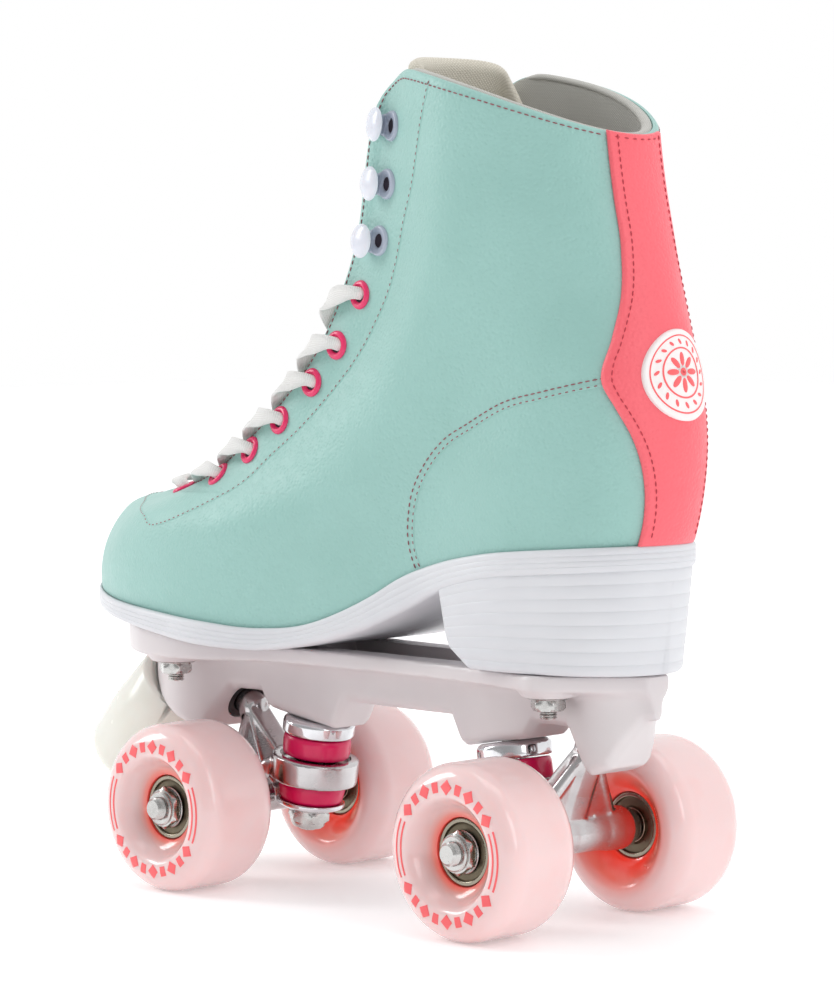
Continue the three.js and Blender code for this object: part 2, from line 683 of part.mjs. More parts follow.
function plate() {
  const ends = [-1, 1].flatMap((end) => [
    onKingpin(cylinder(KINGPIN.radius + GAP, RETAINER.high - 12, KINGPIN.top + GAP, 16), end),
    onKingpin(cylinder(RETAINER.radius + 1.2, 0, RETAINER.high + GAP, 20), end),
    onPivot(turned([[0, -7.3], [PIVOT.cup + GAP, -7.3], [PIVOT.cup + GAP, 4], [14, 14], [0, 14]], 16), end),
  ]);
  const channel = slabXZ([[-42, 88], [-42, 78.5], [42, 78.5], [42, 88]], -13, 13);
  const stopHole = onStop(cylinder(STOP_BOLT.radius + GAP, 0, STOP_BOLT.high + GAP, 12));
  return cut(plateBody(0), ...ends, channel, stopHole, ...boltHoles(BOLTS, BOLT.hole, 60, 160));
}

function toeStop() {
  const lowEdge = 5;
  const profile = [[4.3, 8 - GAP], [4.3, STOP.length], [17, STOP.length], [STOP.radius, 24],
    [STOP.radius, lowEdge], [STOP.radius - 2, 1.6], [STOP.radius - lowEdge, 0], [0, 0], [0, 8 - GAP]];
  const wholeStop = onStop(turned(profile, 24));
  return cut(wholeStop, plateBody(2 * GAP));
}

// ---- Trucks --------------------------------------------------------------------------------------------
// `end` is -1 for the front truck and 1 for the rear one, its mirror image.
function hanger(end) {
  const axleZ = WHEEL.radius;
  const innerEnd = TRACK / 2 - BEARING.far - 0.5;
  const acrossY = (geometry) => alongAxis(geometry, [end * AXLE_X, 0, axleZ], [0, 1, 0]);
  const housing = acrossY(turned([
    [0, -innerEnd], [5.6, -innerEnd], [7.4, -innerEnd + 4], [7.4, innerEnd - 4], [5.6, innerEnd], [0, innerEnd],
  ], 16));
  const ring = onKingpin(cylinder(RING.radius, RING.low, RING.high, 24), end);
  const pin = onPivot(turned([[0, -5.9], [3, -5], [PIVOT.pin, -1.5], [PIVOT.pin, 10], [0, 14]], 12), end);
  const web = slabXZ([
    [end * 85.5, 58.5], [end * 82, 63.6], [end * 64, 45], [end * 56, 42.5], [end * 57, 35.2], [end * 64.5, 27],
    [end * 74, 31], [end * 78, 42],
  ], -5, 5);
  const arms = slabXZ([[end * 72, 24.5], [end * 66, 26], [end * 77, 53], [end * 83, 56]], -26, 26);
  const spread = new THREE.Shape([
    [26, 20], [26, 30], [5, 58], [-5, 58], [-26, 30], [-26, 20],
  ].map(([y, z]) => new THREE.Vector2(y, z)));
  const wedge = new THREE.ExtrudeGeometry(spread, { depth: 40, bevelEnabled: false });
  wedge.rotateX(Math.PI / 2);
  wedge.rotateZ(Math.PI / 2);
  wedge.translate(end > 0 ? 55 : -95, 0, 0);
  const triangle = common(arms, wedge);
  const body = join(housing, ring, pin, web, triangle);
  return cut(
    body,
    onKingpin(cylinder(RING.bore, -30, 30, 16), end),
    onKingpin(cylinder(RING.radius - 0.4, RING.high, 20, 20), end),
    onKingpin(cylinder(13, -26, RING.low, 20), end),
    acrossY(cylinder(AXLE.radius + GAP, -40, 40, 12)),
  );
}

const along = (end, geometry) => alongAxis(geometry, [end * AXLE_X, 0, WHEEL.radius], [0, 1, 0]);

const truckPieces = {
  hanger,
  axle: (end) => along(end, cylinder(AXLE.radius, -AXLE.tip, AXLE.tip, 12)),
  pivot_cup: (end) => onPivot(turned([
    [0, -7], [PIVOT.cup, -7], [PIVOT.cup, 3.6], [PIVOT.pin + GAP, 3.6], [PIVOT.pin + GAP, -1.6],
    [3.2, -5.4], [0, -6.2],
  ], 16), end),
  kingpin: (end) => onKingpin(cylinder(KINGPIN.radius, KINGPIN.bottom, KINGPIN.top, 12), end),
  retainer_upper: (end) => onKingpin(turned([
    [4.2, 13.4], [10.5, 13.4], [11.9, RETAINER.low], [RETAINER.radius, 14.2], [RETAINER.radius, 17],
    [11, RETAINER.high], [4.2, RETAINER.high],
  ], 16), end),
  cushion_upper: (end) => onKingpin(tube(11.7, 4.2, RING.high + GAP, 12.7, 16), end),
  cushion_lower: (end) => onKingpin(turned([
    [4.2, -11], [10.7, -11], [11.5, RING.low - GAP], [4.2, RING.low - GAP],
  ], 16), end),
  retainer_lower: (end) => onKingpin(turned([
    [4.2, -14], [9.5, -14], [12, -12], [12, -11.3], [4.2, -11.3],
  ], 16), end),
  kingpin_nut: (end) => onKingpin(hexNut(NUT.acrossFlats, 4.2, -20.6, -14.3), end),
};

// ---- Wheels --------------------------------------------------------------------------------------------
const TYRE_SEGMENTS = 20;

// Half a facet's turn puts a flat under the wheel, and the flat lies at the full radius.
const flatRadius = (r) => r / Math.cos(Math.PI / TYRE_SEGMENTS);

function tyre() {
  const { radius, halfWidth, faceRadius, bowlRadius, lip } = WHEEL;
  const corner = range(3, (i) => {
    const angle = (i / 2) * (Math.PI / 2);
    return [faceRadius + (radius - faceRadius) * Math.sin(angle), halfWidth - lip * (1 - Math.cos(angle))];
  });
  const half = [[HUB.radius + GAP, HUB.halfWidth], [bowlRadius, halfWidth - 0.8], [19, halfWidth], ...corner];
  const profile = [...half.map(([r, h]) => [r, -h]).reverse(), ...half];
  return turned(profile.map(([r, h]) => [flatRadius(r), h]), TYRE_SEGMENTS, Math.PI / TYRE_SEGMENTS);
}

function hub() {
  const { radius, halfWidth, seatRadius, webRadius, webHalf } = HUB;
  return turned([
    [radius, -halfWidth], [radius, halfWidth], [seatRadius, halfWidth], [seatRadius, webHalf],
    [webRadius, webHalf], [webRadius, -webHalf], [seatRadius, -webHalf], [seatRadius, -halfWidth],
  ], 16);
}

const bearing = () => tube(BEARING.outer, BEARING.inner, BEARING.near, BEARING.far, 12);

const wheelPieces = {
  tyre,
  hub,
  bearing_outer: bearing,
  bearing_inner: () => bearing().rotateX(Math.PI),
  axle_nut: () => hexNut(NUT.acrossFlats, NUT.bore, NUT.from, NUT.from + NUT.height),
};

// ---- Hardware between boot and plate -------------------------------------------------------------------
function mountBolt({ x, y }, side) {
  const top = Math.max(featherLine(x - BOLT.head), featherLine(x + BOLT.head)) + GAP + 0.1;
  const bolt = turned([
    [0, BOLT.end], [BOLT.radius, BOLT.end], [BOLT.radius, top], [BOLT.head, top],
    [BOLT.head, top + BOLT.headHeight], [0, top + BOLT.headHeight],
  ], 12);
  return bolt.translate(x, side * y, 0);
}

function mountNut({ x, y }, side) {
  const top = PLATE.flange - 1.8;
  return hexNut(10, BOLT.hole, top - 5, top).translate(x, side * y, 0);
}

// ---- Assembly ------------------------------------------------------------------------------------------
const finish = (color, roughness, metalness = 0) => ({ color, roughness, metalness });
const FINISHES = {
  mint_leather: finish(0xa9d6cd, 0.5),
  coral_leather: finish(0xff6f72, 0.5),
  white_print: finish(0xf4efee, 0.45),
  beige_mesh: finish(0xcfc5b4, 0.85),
  grey_lining: finish(0xa9a7a2, 0.85),
  insole_foam: finish(0xd8d3c8, 0.9),
  white_sole: finish(0xf1f0f2, 0.5),
  white_nylon: finish(0xf0e9ea, 0.42),
  white_lace: finish(0xf7f5f3, 0.9),
  clear_rubber: finish(0xf1efe4, 0.3),
  magenta_rubber: finish(0xe0246c, 0.3),
  black_rubber: finish(0x17161a, 0.7),
  pink_urethane: finish(0xf6bdb8, 0.2),
  coral_hub: finish(0xff6a5c, 0.4),
  cast_aluminium: finish(0xb9b7b8, 0.38, 1),
  chrome: finish(0xd6d6d8, 0.12, 1),
  zinc: finish(0xb4b2ae, 0.3, 1),
  bearing_steel: finish(0x8b8477, 0.28, 1),
};

const skate = new THREE.Group();

function addPiece(parent, name, geometry, finishName) {
  const mesh = new THREE.Mesh(geometry, new THREE.MeshStandardMaterial(FINISHES[finishName]));
  mesh.name = name;
  parent.add(mesh);
  return mesh;
}

const holes = eyeletHoles();
addPiece(skate, 'boot_upper', cut(bootShell(0, UPPER_THICKNESS), ...holes), 'mint_leather');
addPiece(skate, 'boot_lining', cut(bootShell(UPPER_THICKNESS + SKIN_GAP, FLAP_DEPTH), ...holes), 'grey_lining');
addPiece(skate, 'back_stay', backStay(), 'coral_leather');
addPiece(skate, 'heel_badge', heelBadge(), 'white_print');
addPiece(skate, 'tongue', tongue(), 'beige_mesh');
addPiece(skate, 'lace', lace(), 'white_lace');
addPiece(skate, 'insole', insole(), 'insole_foam');
addPiece(skate, 'outsole', outsole(), 'white_sole');
addPiece(skate, 'heel_block', heelBlock(), 'white_sole');
addPiece(skate, 'plate', plate(), 'white_nylon');
addPiece(skate, 'toe_stop', toeStop(), 'clear_rubber');
addPiece(
  skate,
  'toe_stop_bolt',
  onStop(cylinder(STOP_BOLT.radius, STOP_BOLT.low, STOP_BOLT.high, 12)),
  'zinc',
);

const TRUCK_FINISH = {
  hanger: 'cast_aluminium',
  axle: 'zinc',
  pivot_cup: 'black_rubber',
  kingpin: 'zinc',
  retainer_upper: 'chrome',
  cushion_upper: 'magenta_rubber',
  cushion_lower: 'magenta_rubber',
  retainer_lower: 'chrome',
  kingpin_nut: 'zinc',
};
const WHEEL_FINISH = {
  tyre: 'pink_urethane',
  hub: 'coral_hub',
  bearing_outer: 'bearing_steel',
  bearing_inner: 'bearing_steel',
  axle_nut: 'zinc',
};

[['front', -1, FRONT_BOLT], ['rear', 1, REAR_BOLT]].forEach(([endName, end, bolt]) => {
  Object.entries(truckPieces).forEach(([piece, make]) => {
    addPiece(skate, `${endName}_${piece}`, make(end), TRUCK_FINISH[piece]);
  });
  [['left', -1], ['right', 1]].forEach(([sideName, side]) => {
    const place = `${endName}_${sideName}`;
    const wheel = new THREE.Group();
    wheel.position.set(end * AXLE_X, (side * TRACK) / 2, WHEEL.radius);
    wheel.rotation.x = side < 0 ? Math.PI / 2 : -Math.PI / 2;
    skate.add(wheel);
    Object.entries(wheelPieces).forEach(([piece, make]) => {
      addPiece(wheel, `${place}_${piece}`, make(), WHEEL_FINISH[piece]);
    });
    addPiece(skate, `${place}_mount_bolt`, mountBolt(bolt, side), 'zinc');
    addPiece(skate, `${place}_mount_nut`, mountNut(bolt, side), 'zinc');
  });
});

skate.position.x = FRAME_SHIFT_X;

export default skate;
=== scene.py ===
"""Looks of a quad roller skate: a mint lace-up boot with coral trim on a white heeled sole, a nylon plate,
two steering trucks on magenta cushions and four translucent pink wheels.

Shapes are worked out in millimetres in the skate's own frame: x = 0 midway between the axles, toe towards -X,
the left side towards -Y, z = 0 on the floor. place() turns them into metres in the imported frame.
"""
import math

import bpy
import numpy as np
from mathutils import Matrix, Vector


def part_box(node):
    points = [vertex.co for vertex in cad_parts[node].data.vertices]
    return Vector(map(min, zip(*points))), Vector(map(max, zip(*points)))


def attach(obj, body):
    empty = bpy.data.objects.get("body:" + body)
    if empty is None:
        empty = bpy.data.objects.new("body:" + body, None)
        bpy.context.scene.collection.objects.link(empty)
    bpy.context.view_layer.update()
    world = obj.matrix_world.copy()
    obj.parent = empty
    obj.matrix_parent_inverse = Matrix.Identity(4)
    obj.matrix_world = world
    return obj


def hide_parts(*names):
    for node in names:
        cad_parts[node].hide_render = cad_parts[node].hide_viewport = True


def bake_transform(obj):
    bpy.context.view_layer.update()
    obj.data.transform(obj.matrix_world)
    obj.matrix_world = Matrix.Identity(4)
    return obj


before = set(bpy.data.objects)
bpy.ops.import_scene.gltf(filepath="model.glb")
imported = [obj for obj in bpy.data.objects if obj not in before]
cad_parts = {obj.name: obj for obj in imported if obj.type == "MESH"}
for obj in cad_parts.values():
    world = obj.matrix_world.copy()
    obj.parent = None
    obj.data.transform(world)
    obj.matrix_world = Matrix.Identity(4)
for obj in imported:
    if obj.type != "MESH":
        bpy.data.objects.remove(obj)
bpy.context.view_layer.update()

MM = 0.001
ENDS = (("front", -1), ("rear", 1))
SIDES = (("left", -1), ("right", 1))


def middle(node):
    """The middle of a CAD node's box, in millimetres."""
    low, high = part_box(node)
    return (np.array(low) + np.array(high)) / 2 / MM


SHIFT = (middle("front_axle")[0] + middle("rear_axle")[0]) / 2
AXLE_X = (middle("rear_axle")[0] - middle("front_axle")[0]) / 2
AXLE_Z = middle("front_axle")[2]
WHEEL_Y = middle("front_right_tyre")[1]
AXLE_TIP = (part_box("front_axle")[1].y) / MM

# ---- Camera -----------------------------------------------------------------------------------------
CAMERA = {"azimuth": 45.238, "elevation": 3.747, "roll": -0.217, "distance": 1292.7, "lens": 136.09}
CAMERA_OFFSET = (0.68, 135.83)  # how far the view's middle is from the skate's origin, right and up


def add_camera():
    """A long lens that looks at the skate from its left and behind, close to the floor."""
    a, e, roll = (math.radians(CAMERA[k]) for k in ("azimuth", "elevation", "roll"))
    back = Vector((math.sin(a) * math.cos(e), -math.cos(a) * math.cos(e), math.sin(e)))
    level = Vector((math.cos(a), math.sin(a), 0))
    up = back.cross(level)
    right = level * math.cos(roll) + up * math.sin(roll)
    up = up * math.cos(roll) - level * math.sin(roll)
    spot = back * CAMERA["distance"] + right * CAMERA_OFFSET[0] + up * CAMERA_OFFSET[1]
    data = bpy.data.cameras.new("camera")
    data.lens = CAMERA["lens"]
    data.clip_end = 50
    camera = bpy.data.objects.new("camera", data)
    bpy.context.scene.collection.objects.link(camera)
    turn = Matrix((right, up, back)).transposed().to_4x4()
    camera.matrix_world = Matrix.Translation((spot + Vector((SHIFT, 0, 0))) * MM) @ turn
    bpy.context.scene.camera = camera


add_camera()


# ---- Curves -----------------------------------------------------------------------------------------
def curve(rows):
    """A smooth function through rows of (where, value, ...): cubic pieces whose slope at a row is the
    weighted mean of the slopes beside it. Works on arrays."""
    rows = np.asarray(rows, float)
    at, value = rows[:, 0], rows[:, 1:]
    step = np.diff(at)
    slope = np.diff(value, axis=0) / step[:, None]
    tangent = np.empty_like(value)
    weighted = slope[:-1] * step[1:, None] + slope[1:] * step[:-1, None]
    tangent[1:-1] = weighted / (step[1:] + step[:-1])[:, None]
    tangent[0] = 2 * slope[0] - tangent[1]
    tangent[-1] = 2 * slope[-1] - tangent[-2]

    def evaluate(x):
        x = np.asarray(x, float)
        i = np.clip(np.searchsorted(at, x) - 1, 0, len(step) - 1)
        u = np.clip((x - at[i]) / step[i], 0, 1)[..., None]
        h = step[i][..., None]
        out = (((2 * u - 3) * u * u + 1) * value[i] + ((u - 2) * u + 1) * u * h * tangent[i]
               + (3 - 2 * u) * u * u * value[i + 1] + (u - 1) * u * u * h * tangent[i + 1])
        return out[..., 0] if out.shape[-1] == 1 else out

    return evaluate


def chain(points):
    """The same along a chain of points, from 0 at the first to 1 at the last by chord length."""
    points = np.asarray(points, float)
    length = np.r_[0, np.cumsum(np.linalg.norm(np.diff(points, axis=0), axis=1))]
    return curve(np.column_stack([length / length[-1], points]))


def ease(u):
    """0 below 0, 1 above 1, and a smooth step between."""
    u = np.clip(u, 0, 1)
    return u * u * (3 - 2 * u)


def unit(v):
    """Vectors of length 1."""
    return v / np.maximum(np.linalg.norm(v, axis=-1, keepdims=True), 1e-12)


# ---- Meshes -----------------------------------------------------------------------------------------
def place(points):
    """Millimetres in the skate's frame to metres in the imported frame."""
    return (np.asarray(points, float).reshape(-1, 3) + (SHIFT, 0, 0)) * MM


def grid_faces(rows, columns, wrap_rows=False, wrap_columns=False):
    """Four-sided faces of a rows by columns grid of points, joined round where it wraps."""
    i = np.arange(rows if wrap_rows else rows - 1)[:, None]
    j = np.arange(columns if wrap_columns else columns - 1)[None, :]
    i2, j2 = (i + 1) % rows, (j + 1) % columns
    a, b, c, d = (i * columns + j, i * columns + j2, i2 * columns + j2, i2 * columns + j)
    return np.stack([a, b, c, d], -1).reshape(-1, 4)


def mesh_of(name, points, faces):
    """A new mesh from points in millimetres."""
    mesh = bpy.data.meshes.new(name)
    mesh.from_pydata(place(points).tolist(), [], faces.tolist())
    return mesh


def tidy_mesh(mesh, merge=True):
    """Merges doubled points, drops faces without area and turns every face outwards."""
    import bmesh

    work = bmesh.new()
    work.from_mesh(mesh)
    if merge:
        bmesh.ops.remove_doubles(work, verts=work.verts, dist=0.002 * MM)
        bmesh.ops.dissolve_degenerate(work, edges=work.edges, dist=0.001 * MM)
    bmesh.ops.recalc_face_normals(work, faces=work.faces)
    work.to_mesh(mesh)
    work.free()


def piece(name, points, faces, merge=True, sharp=40, attributes=None):
    """An object at the origin with this mesh, shaded smooth except at edges over `sharp` degrees."""
    mesh = mesh_of(name, points, np.asarray(faces))
    for key, values in (attributes or {}).items():
        values = np.asarray(values, np.float32)
        kind, field = ("FLOAT", "value") if values.ndim == 1 else ("FLOAT_VECTOR", "vector")
        mesh.attributes.new(key, kind, "POINT").data.foreach_set(field, values.ravel())
    tidy_mesh(mesh, merge)
    mesh.shade_smooth()
    mesh.set_sharp_from_angle(angle=math.radians(sharp))
    thing = bpy.data.objects.new(name.replace(" ", "-"), mesh)
    bpy.context.scene.collection.objects.link(thing)
    return thing


def finish_piece(thing, body, material, nodes=()):
    """Gives a piece its material, body and the CAD nodes that it stands for."""
    thing.data.materials.clear()
    thing.data.materials.append(material)
    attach(thing, body)
    if nodes:
        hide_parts(*nodes)
    return thing


def merged(shells):
    """Several (points, faces) shells as one: points stacked, faces counted on."""
    points, faces, start = [], [], 0
    for p, f in shells:
        p = np.asarray(p, float).reshape(-1, 3)
        points.append(p)
        faces.append(np.asarray(f) + start)
        start += len(p)
    return np.concatenate(points), np.concatenate(faces)


def wall(outer, inner):
    """A closed sheet between two grids: the outer rows run on into the inner rows reversed, so each ring goes
    once round the section, and the first and last rings are closed across."""
    rows, columns = outer.shape[:2]
    points = np.concatenate([outer, inner[:, ::-1]], 1)
    faces = grid_faces(rows, 2 * columns, wrap_columns=True)
    j = np.arange(columns - 1)
    caps = []
    for first in (0, (rows - 1) * 2 * columns):
        caps.append(np.stack([first + j, first + j + 1, first + 2 * columns - 2 - j,
                              first + 2 * columns - 1 - j], -1))
    return points, np.concatenate([faces, *caps])


def rounded(outline, radius, steps=4, closed=True):
    """An outline of (r, h) points whose corners are turned into short arcs: each corner is a quadratic curve
    between the points `radius` before and after it."""
    points = [np.array(p, float) for p in outline]
    out = []
    for i, corner in enumerate(points):
        if not closed and i in (0, len(points) - 1):
            out.append(corner)
            continue
        before, after = points[i - 1] - corner, points[(i + 1) % len(points)] - corner
        a = corner + before * min(0.45, radius / max(np.linalg.norm(before), 1e-6))
        b = corner + after * min(0.45, radius / max(np.linalg.norm(after), 1e-6))
        for u in np.linspace(0, 1, steps):
            out.append(a * (1 - u) ** 2 + corner * 2 * u * (1 - u) + b * u * u)
    return np.array(out)


def lathe(profile, segments=64, wrap=True):
    """Turns (radius, height) points about Z. A radius may also be an array over the angles."""
    angle = np.arange(segments) * 2 * math.pi / segments
    rings = [np.stack([r * np.cos(angle), r * np.sin(angle), np.full(segments, float(h))], -1)
             for r, h in profile]
    return np.array(rings), grid_faces(len(rings), segments, wrap_rows=wrap, wrap_columns=True)


def aim(points, origin, direction):
    """Puts points made about Z onto the axis through origin along direction."""
    turn = np.array(Vector((0, 0, 1)).rotation_difference(Vector(direction)).to_matrix())
    return np.asarray(points) @ turn.T + np.asarray(origin, float)


def hexagon(across_flats, segments=72):
    """The radius of a hexagon over the lathe's angles."""
    angle = np.arange(segments) * 2 * math.pi / segments
    return across_flats / 2 / np.cos((angle + math.pi / 6) % (math.pi / 3) - math.pi / 6)


def hex_nut(across_flats, bore, low, high, collar=0.0):
    """A hexagon whose corners are chamfered at both faces, a countersunk bore, and where collar is over zero
    a round locking collar of that height on its high face."""
    corner = hexagon(across_flats)
    r = across_flats / 2
    profile = [(bore + 0.6, low), (r * 0.93, low), (np.minimum(corner, r * 1.0), low + 0.15),
               (np.minimum(corner, r * 1.17), low + 1.0), (np.minimum(corner, r * 1.17), high - 1.0),
               (np.minimum(corner, r * 1.0), high - 0.15), (r * 0.9, high)]
    if collar:
        profile += [(r * 0.8, high), (r * 0.78, high + collar * 0.75), (r * 0.68, high + collar)]
    top = high + collar
    profile += [(bore + 0.6, top), (bore, top - 0.6), (bore, low + 0.6)]
    return lathe(profile, 72)


def thread(radius, low, high, pitch=1.0, depth=0.35):
    """Profile points of a screw thread's ridges, from low to high."""
    count = max(int((high - low) / pitch), 1)
    at = np.linspace(low, high, 2 * count + 1)
    return [(radius - (depth if k % 2 else 0), h) for k, h in enumerate(at)]


def ribbon(points, across, half_width, half_thickness, sides=12, power=2.6):
    """A band along points: each section is a rounded rectangle (superellipse) whose long axis lies along
    `across`, made square to the path. Sizes may be arrays along the path."""
    points = np.asarray(points, float)
    ahead = unit(np.gradient(points, axis=0))
    b = unit(across - (across * ahead).sum(-1, keepdims=True) * ahead)
    n = np.cross(ahead, b)
    angle = np.arange(sides) * 2 * math.pi / sides
    c, s = np.cos(angle), np.sin(angle)
    cx, sx = np.sign(c) * np.abs(c) ** (2 / power), np.sign(s) * np.abs(s) ** (2 / power)
    w = np.broadcast_to(half_width, len(points))[:, None, None]
    h = np.broadcast_to(half_thickness, len(points))[:, None, None]
    rings = points[:, None] + b[:, None] * cx[None, :, None] * w + n[:, None] * sx[None, :, None] * h
    shrink = np.concatenate([points[:1, None].repeat(sides, 1), rings, points[-1:, None].repeat(sides, 1)])
    return shrink, grid_faces(len(shrink), sides, wrap_columns=True)


def bar(start, end, r0, r1, segments=20):
    """A round bar between two points with rounded ends."""
    start, end = np.array(start, float), np.array(end, float)
    length = np.linalg.norm(end - start)
    u = np.linspace(0, math.pi / 2, 5)
    profile = [(r0 * math.sin(a), -r0 * math.cos(a)) for a in u]
    profile += [(r1 * math.cos(a), length + r1 * math.sin(a)) for a in u]
    points, faces = lathe(profile, segments, wrap=False)
    return aim(points, start, end - start), faces


def slab_xz(outline, y0, y1):
    """An outline of (x, z) points between two y planes, as strips to its middle: suits simple outlines."""
    outline = np.array(outline, float)
    centre = outline.mean(0)
    ring = lambda scale, y: np.column_stack([centre[0] + (outline[:, 0] - centre[0]) * scale,
                                             np.full(len(outline), float(y)),
                                             centre[1] + (outline[:, 1] - centre[1]) * scale])
    rings = np.array([ring(1e-4, y0), ring(1, y0), ring(1, y1), ring(1e-4, y1)])
    return rings, grid_faces(4, len(outline), wrap_columns=True)


def applied(thing):
    """Bakes the piece's modifiers into its mesh."""
    bpy.context.view_layer.update()
    graph = bpy.context.evaluated_depsgraph_get()
    mesh = bpy.data.meshes.new_from_object(thing.evaluated_get(graph))
    thing.modifiers.clear()
    thing.data = mesh
    return thing


def carve(thing, cutters):
    """Takes closed shells out of a closed piece."""
    for points, faces in cutters:
        tool = piece("cutter", points, faces, sharp=180)
        cut = thing.modifiers.new("cut", "BOOLEAN")
        cut.operation = "DIFFERENCE"
        cut.solver = "EXACT"
        cut.object = tool
        applied(thing)
        bpy.data.objects.remove(tool)
    return thing


def cast(thing, voxel, relax):
    """Fuses overlapping shells into one skin of voxel-sized faces and relaxes it, as a casting's fillets."""
    fuse = thing.modifiers.new("fuse", "REMESH")
    fuse.mode = "VOXEL"
    fuse.voxel_size = voxel * MM
    soften = thing.modifiers.new("soften", "SMOOTH")
    soften.factor = 0.5
    soften.iterations = relax
    applied(thing)
    thing.data.shade_smooth()
    return thing


# ---- Materials --------------------------------------------------------------------------------------
class Finish:
    """A material being built: short calls that add and join nodes."""

    def __init__(self, name, color, roughness, metallic=0.0):
        self.material = bpy.data.materials.new(name)
        self.material.use_nodes = True
        self.tree = self.material.node_tree
        self.shader = self.tree.nodes["Principled BSDF"]
        self.set("Base Color", (*color, 1))
        self.set("Roughness", roughness)
        self.set("Metallic", metallic)
        self.coordinates = self.tree.nodes.new("ShaderNodeTexCoord").outputs["Object"]
        self.bumped = None

    def set(self, socket, value):
        self.shader.inputs[socket].default_value = value
        return self

    def node(self, kind, inputs=None, **settings):
        made = self.tree.nodes.new(kind)
        for key, value in settings.items():
            setattr(made, key, value)
        for key, value in (inputs or {}).items():
            if isinstance(value, bpy.types.NodeSocket):
                self.tree.links.new(value, made.inputs[key])
            else:
                made.inputs[key].default_value = value
        return made

    def link(self, output, socket):
        self.tree.links.new(output, self.shader.inputs[socket])
        return self

    def noise(self, scale, detail=3.0, vector=None, roughness=0.55):
        return self.node("ShaderNodeTexNoise", {"Vector": vector or self.coordinates, "Scale": scale,
                                                "Detail": detail, "Roughness": roughness}).outputs["Fac"]

    def cells(self, scale, vector=None, feature="F1"):
        return self.node("ShaderNodeTexVoronoi", {"Vector": vector or self.coordinates, "Scale": scale},
                         feature=feature).outputs["Distance"]

    def stretched(self, scale):
        return self.node("ShaderNodeMapping", {"Vector": self.coordinates, "Scale": scale}).outputs["Vector"]

    def math(self, operation, a, b=0.0, clamp=False):
        return self.node("ShaderNodeMath", {0: a, 1: b}, operation=operation, use_clamp=clamp).outputs[0]

    def ramp(self, value, low, high, out_low=0.0, out_high=1.0):
        return self.node("ShaderNodeMapRange", {"Value": value, "From Min": low, "From Max": high,
                                                "To Min": out_low, "To Max": out_high}).outputs["Result"]

    def mix(self, factor, a, b):
        made = self.node("ShaderNodeMix", data_type="RGBA")
        for socket, value in ((made.inputs[0], factor), (made.inputs[6], a), (made.inputs[7], b)):
            if isinstance(value, bpy.types.NodeSocket):
                self.tree.links.new(value, socket)
            else:
                socket.default_value = value if isinstance(value, float) else (*value, 1)
        return made.outputs[2]

    def bump(self, height, distance, strength=1.0):
        """Stacks a bump whose full height is `distance` millimetres."""
        inputs = {"Height": height, "Distance": distance * MM, "Strength": strength}
        if self.bumped:
            inputs["Normal"] = self.bumped
        self.bumped = self.node("ShaderNodeBump", inputs).outputs["Normal"]
        return self.link(self.bumped, "Normal")

    def attribute(self, name):
        return self.node("ShaderNodeAttribute", attribute_name=name).outputs["Fac"]


def srgb(code):
    """A colour written as six hexadecimal digits, in linear light."""
    value = np.array([int(code[i:i + 2], 16) / 255 for i in (0, 2, 4)])
    return tuple(np.where(value <= 0.04045, value / 12.92, ((value + 0.055) / 1.055) ** 2.4))


def leather(name, code, darker):
    """Coated leather: fine pebbled grain, faint clouding of its colour and a satin face."""
    f = Finish(name, srgb(code), 0.42)
    cloud = f.ramp(f.noise(28.0, 4.0), 0.3, 0.7)
    fine = f.ramp(f.noise(900.0, 2.0), 0.35, 0.65, 0.0, 0.35)
    tone = f.math("MAXIMUM", f.math("MULTIPLY", cloud, 0.55), fine)
    f.link(f.mix(tone, srgb(code), srgb(darker)), "Base Color")
    f.link(f.ramp(f.noise(260.0, 3.0), 0.3, 0.7, 0.36, 0.5), "Roughness")
    f.bump(f.ramp(f.cells(800.0), 0.0, 0.6), 0.16, 0.8)
    f.bump(f.noise(380.0, 4.0), 0.25, 0.5)
    f.bump(f.noise(45.0, 2.0), 0.5, 0.25)
    f.set("Specular IOR Level", 0.42)
    f.set("Sheen Weight", 0.08)
    return f.material


def cloth(name, code, darker, threads, depth=0.16, mapped=None):
    """Plain weave: two crossed sine ridges at `threads` a metre that take turns on top, painted shade in the low
    places between them, and a little fuzz.
    """
    f = Finish(name, srgb(code), 0.85)
    vector = f.coordinates
    if mapped:
        vector = f.node("ShaderNodeAttribute", attribute_name=mapped).outputs["Vector"]
    split = f.node("ShaderNodeSeparateXYZ", {0: vector})
    u, v = split.outputs[0], split.outputs[1 if mapped else 2]
    if not mapped:
        u = f.math("ADD", u, split.outputs[1])
    wave = lambda axis, rate: f.math("SINE", f.math("MULTIPLY", axis, rate * 2 * math.pi))
    a, b = wave(u, threads), wave(v, threads)
    weave = f.math("MULTIPLY", a, b)
    ridge = f.math("MAXIMUM", f.math("ABSOLUTE", a), f.math("ABSOLUTE", b))
    height = f.math("ADD", f.math("MULTIPLY", weave, 0.5), ridge)
    # Painted shade: the colour darkens towards `darker` in the low places between the threads; the noise adds
    # random tone.
    shade = f.math("MULTIPLY", f.ramp(height, 0.1, 1.2), f.ramp(f.noise(60.0, 3.0), 0.3, 0.7, 0.8, 1.0))
    f.link(f.mix(shade, srgb(darker), srgb(code)), "Base Color")
    f.bump(height, depth, 0.8)
    f.bump(f.noise(1500.0, 2.0), 0.08, 0.4)
    f.set("Sheen Weight", 0.25)
    f.set("Sheen Roughness", 0.5)
    return f.material


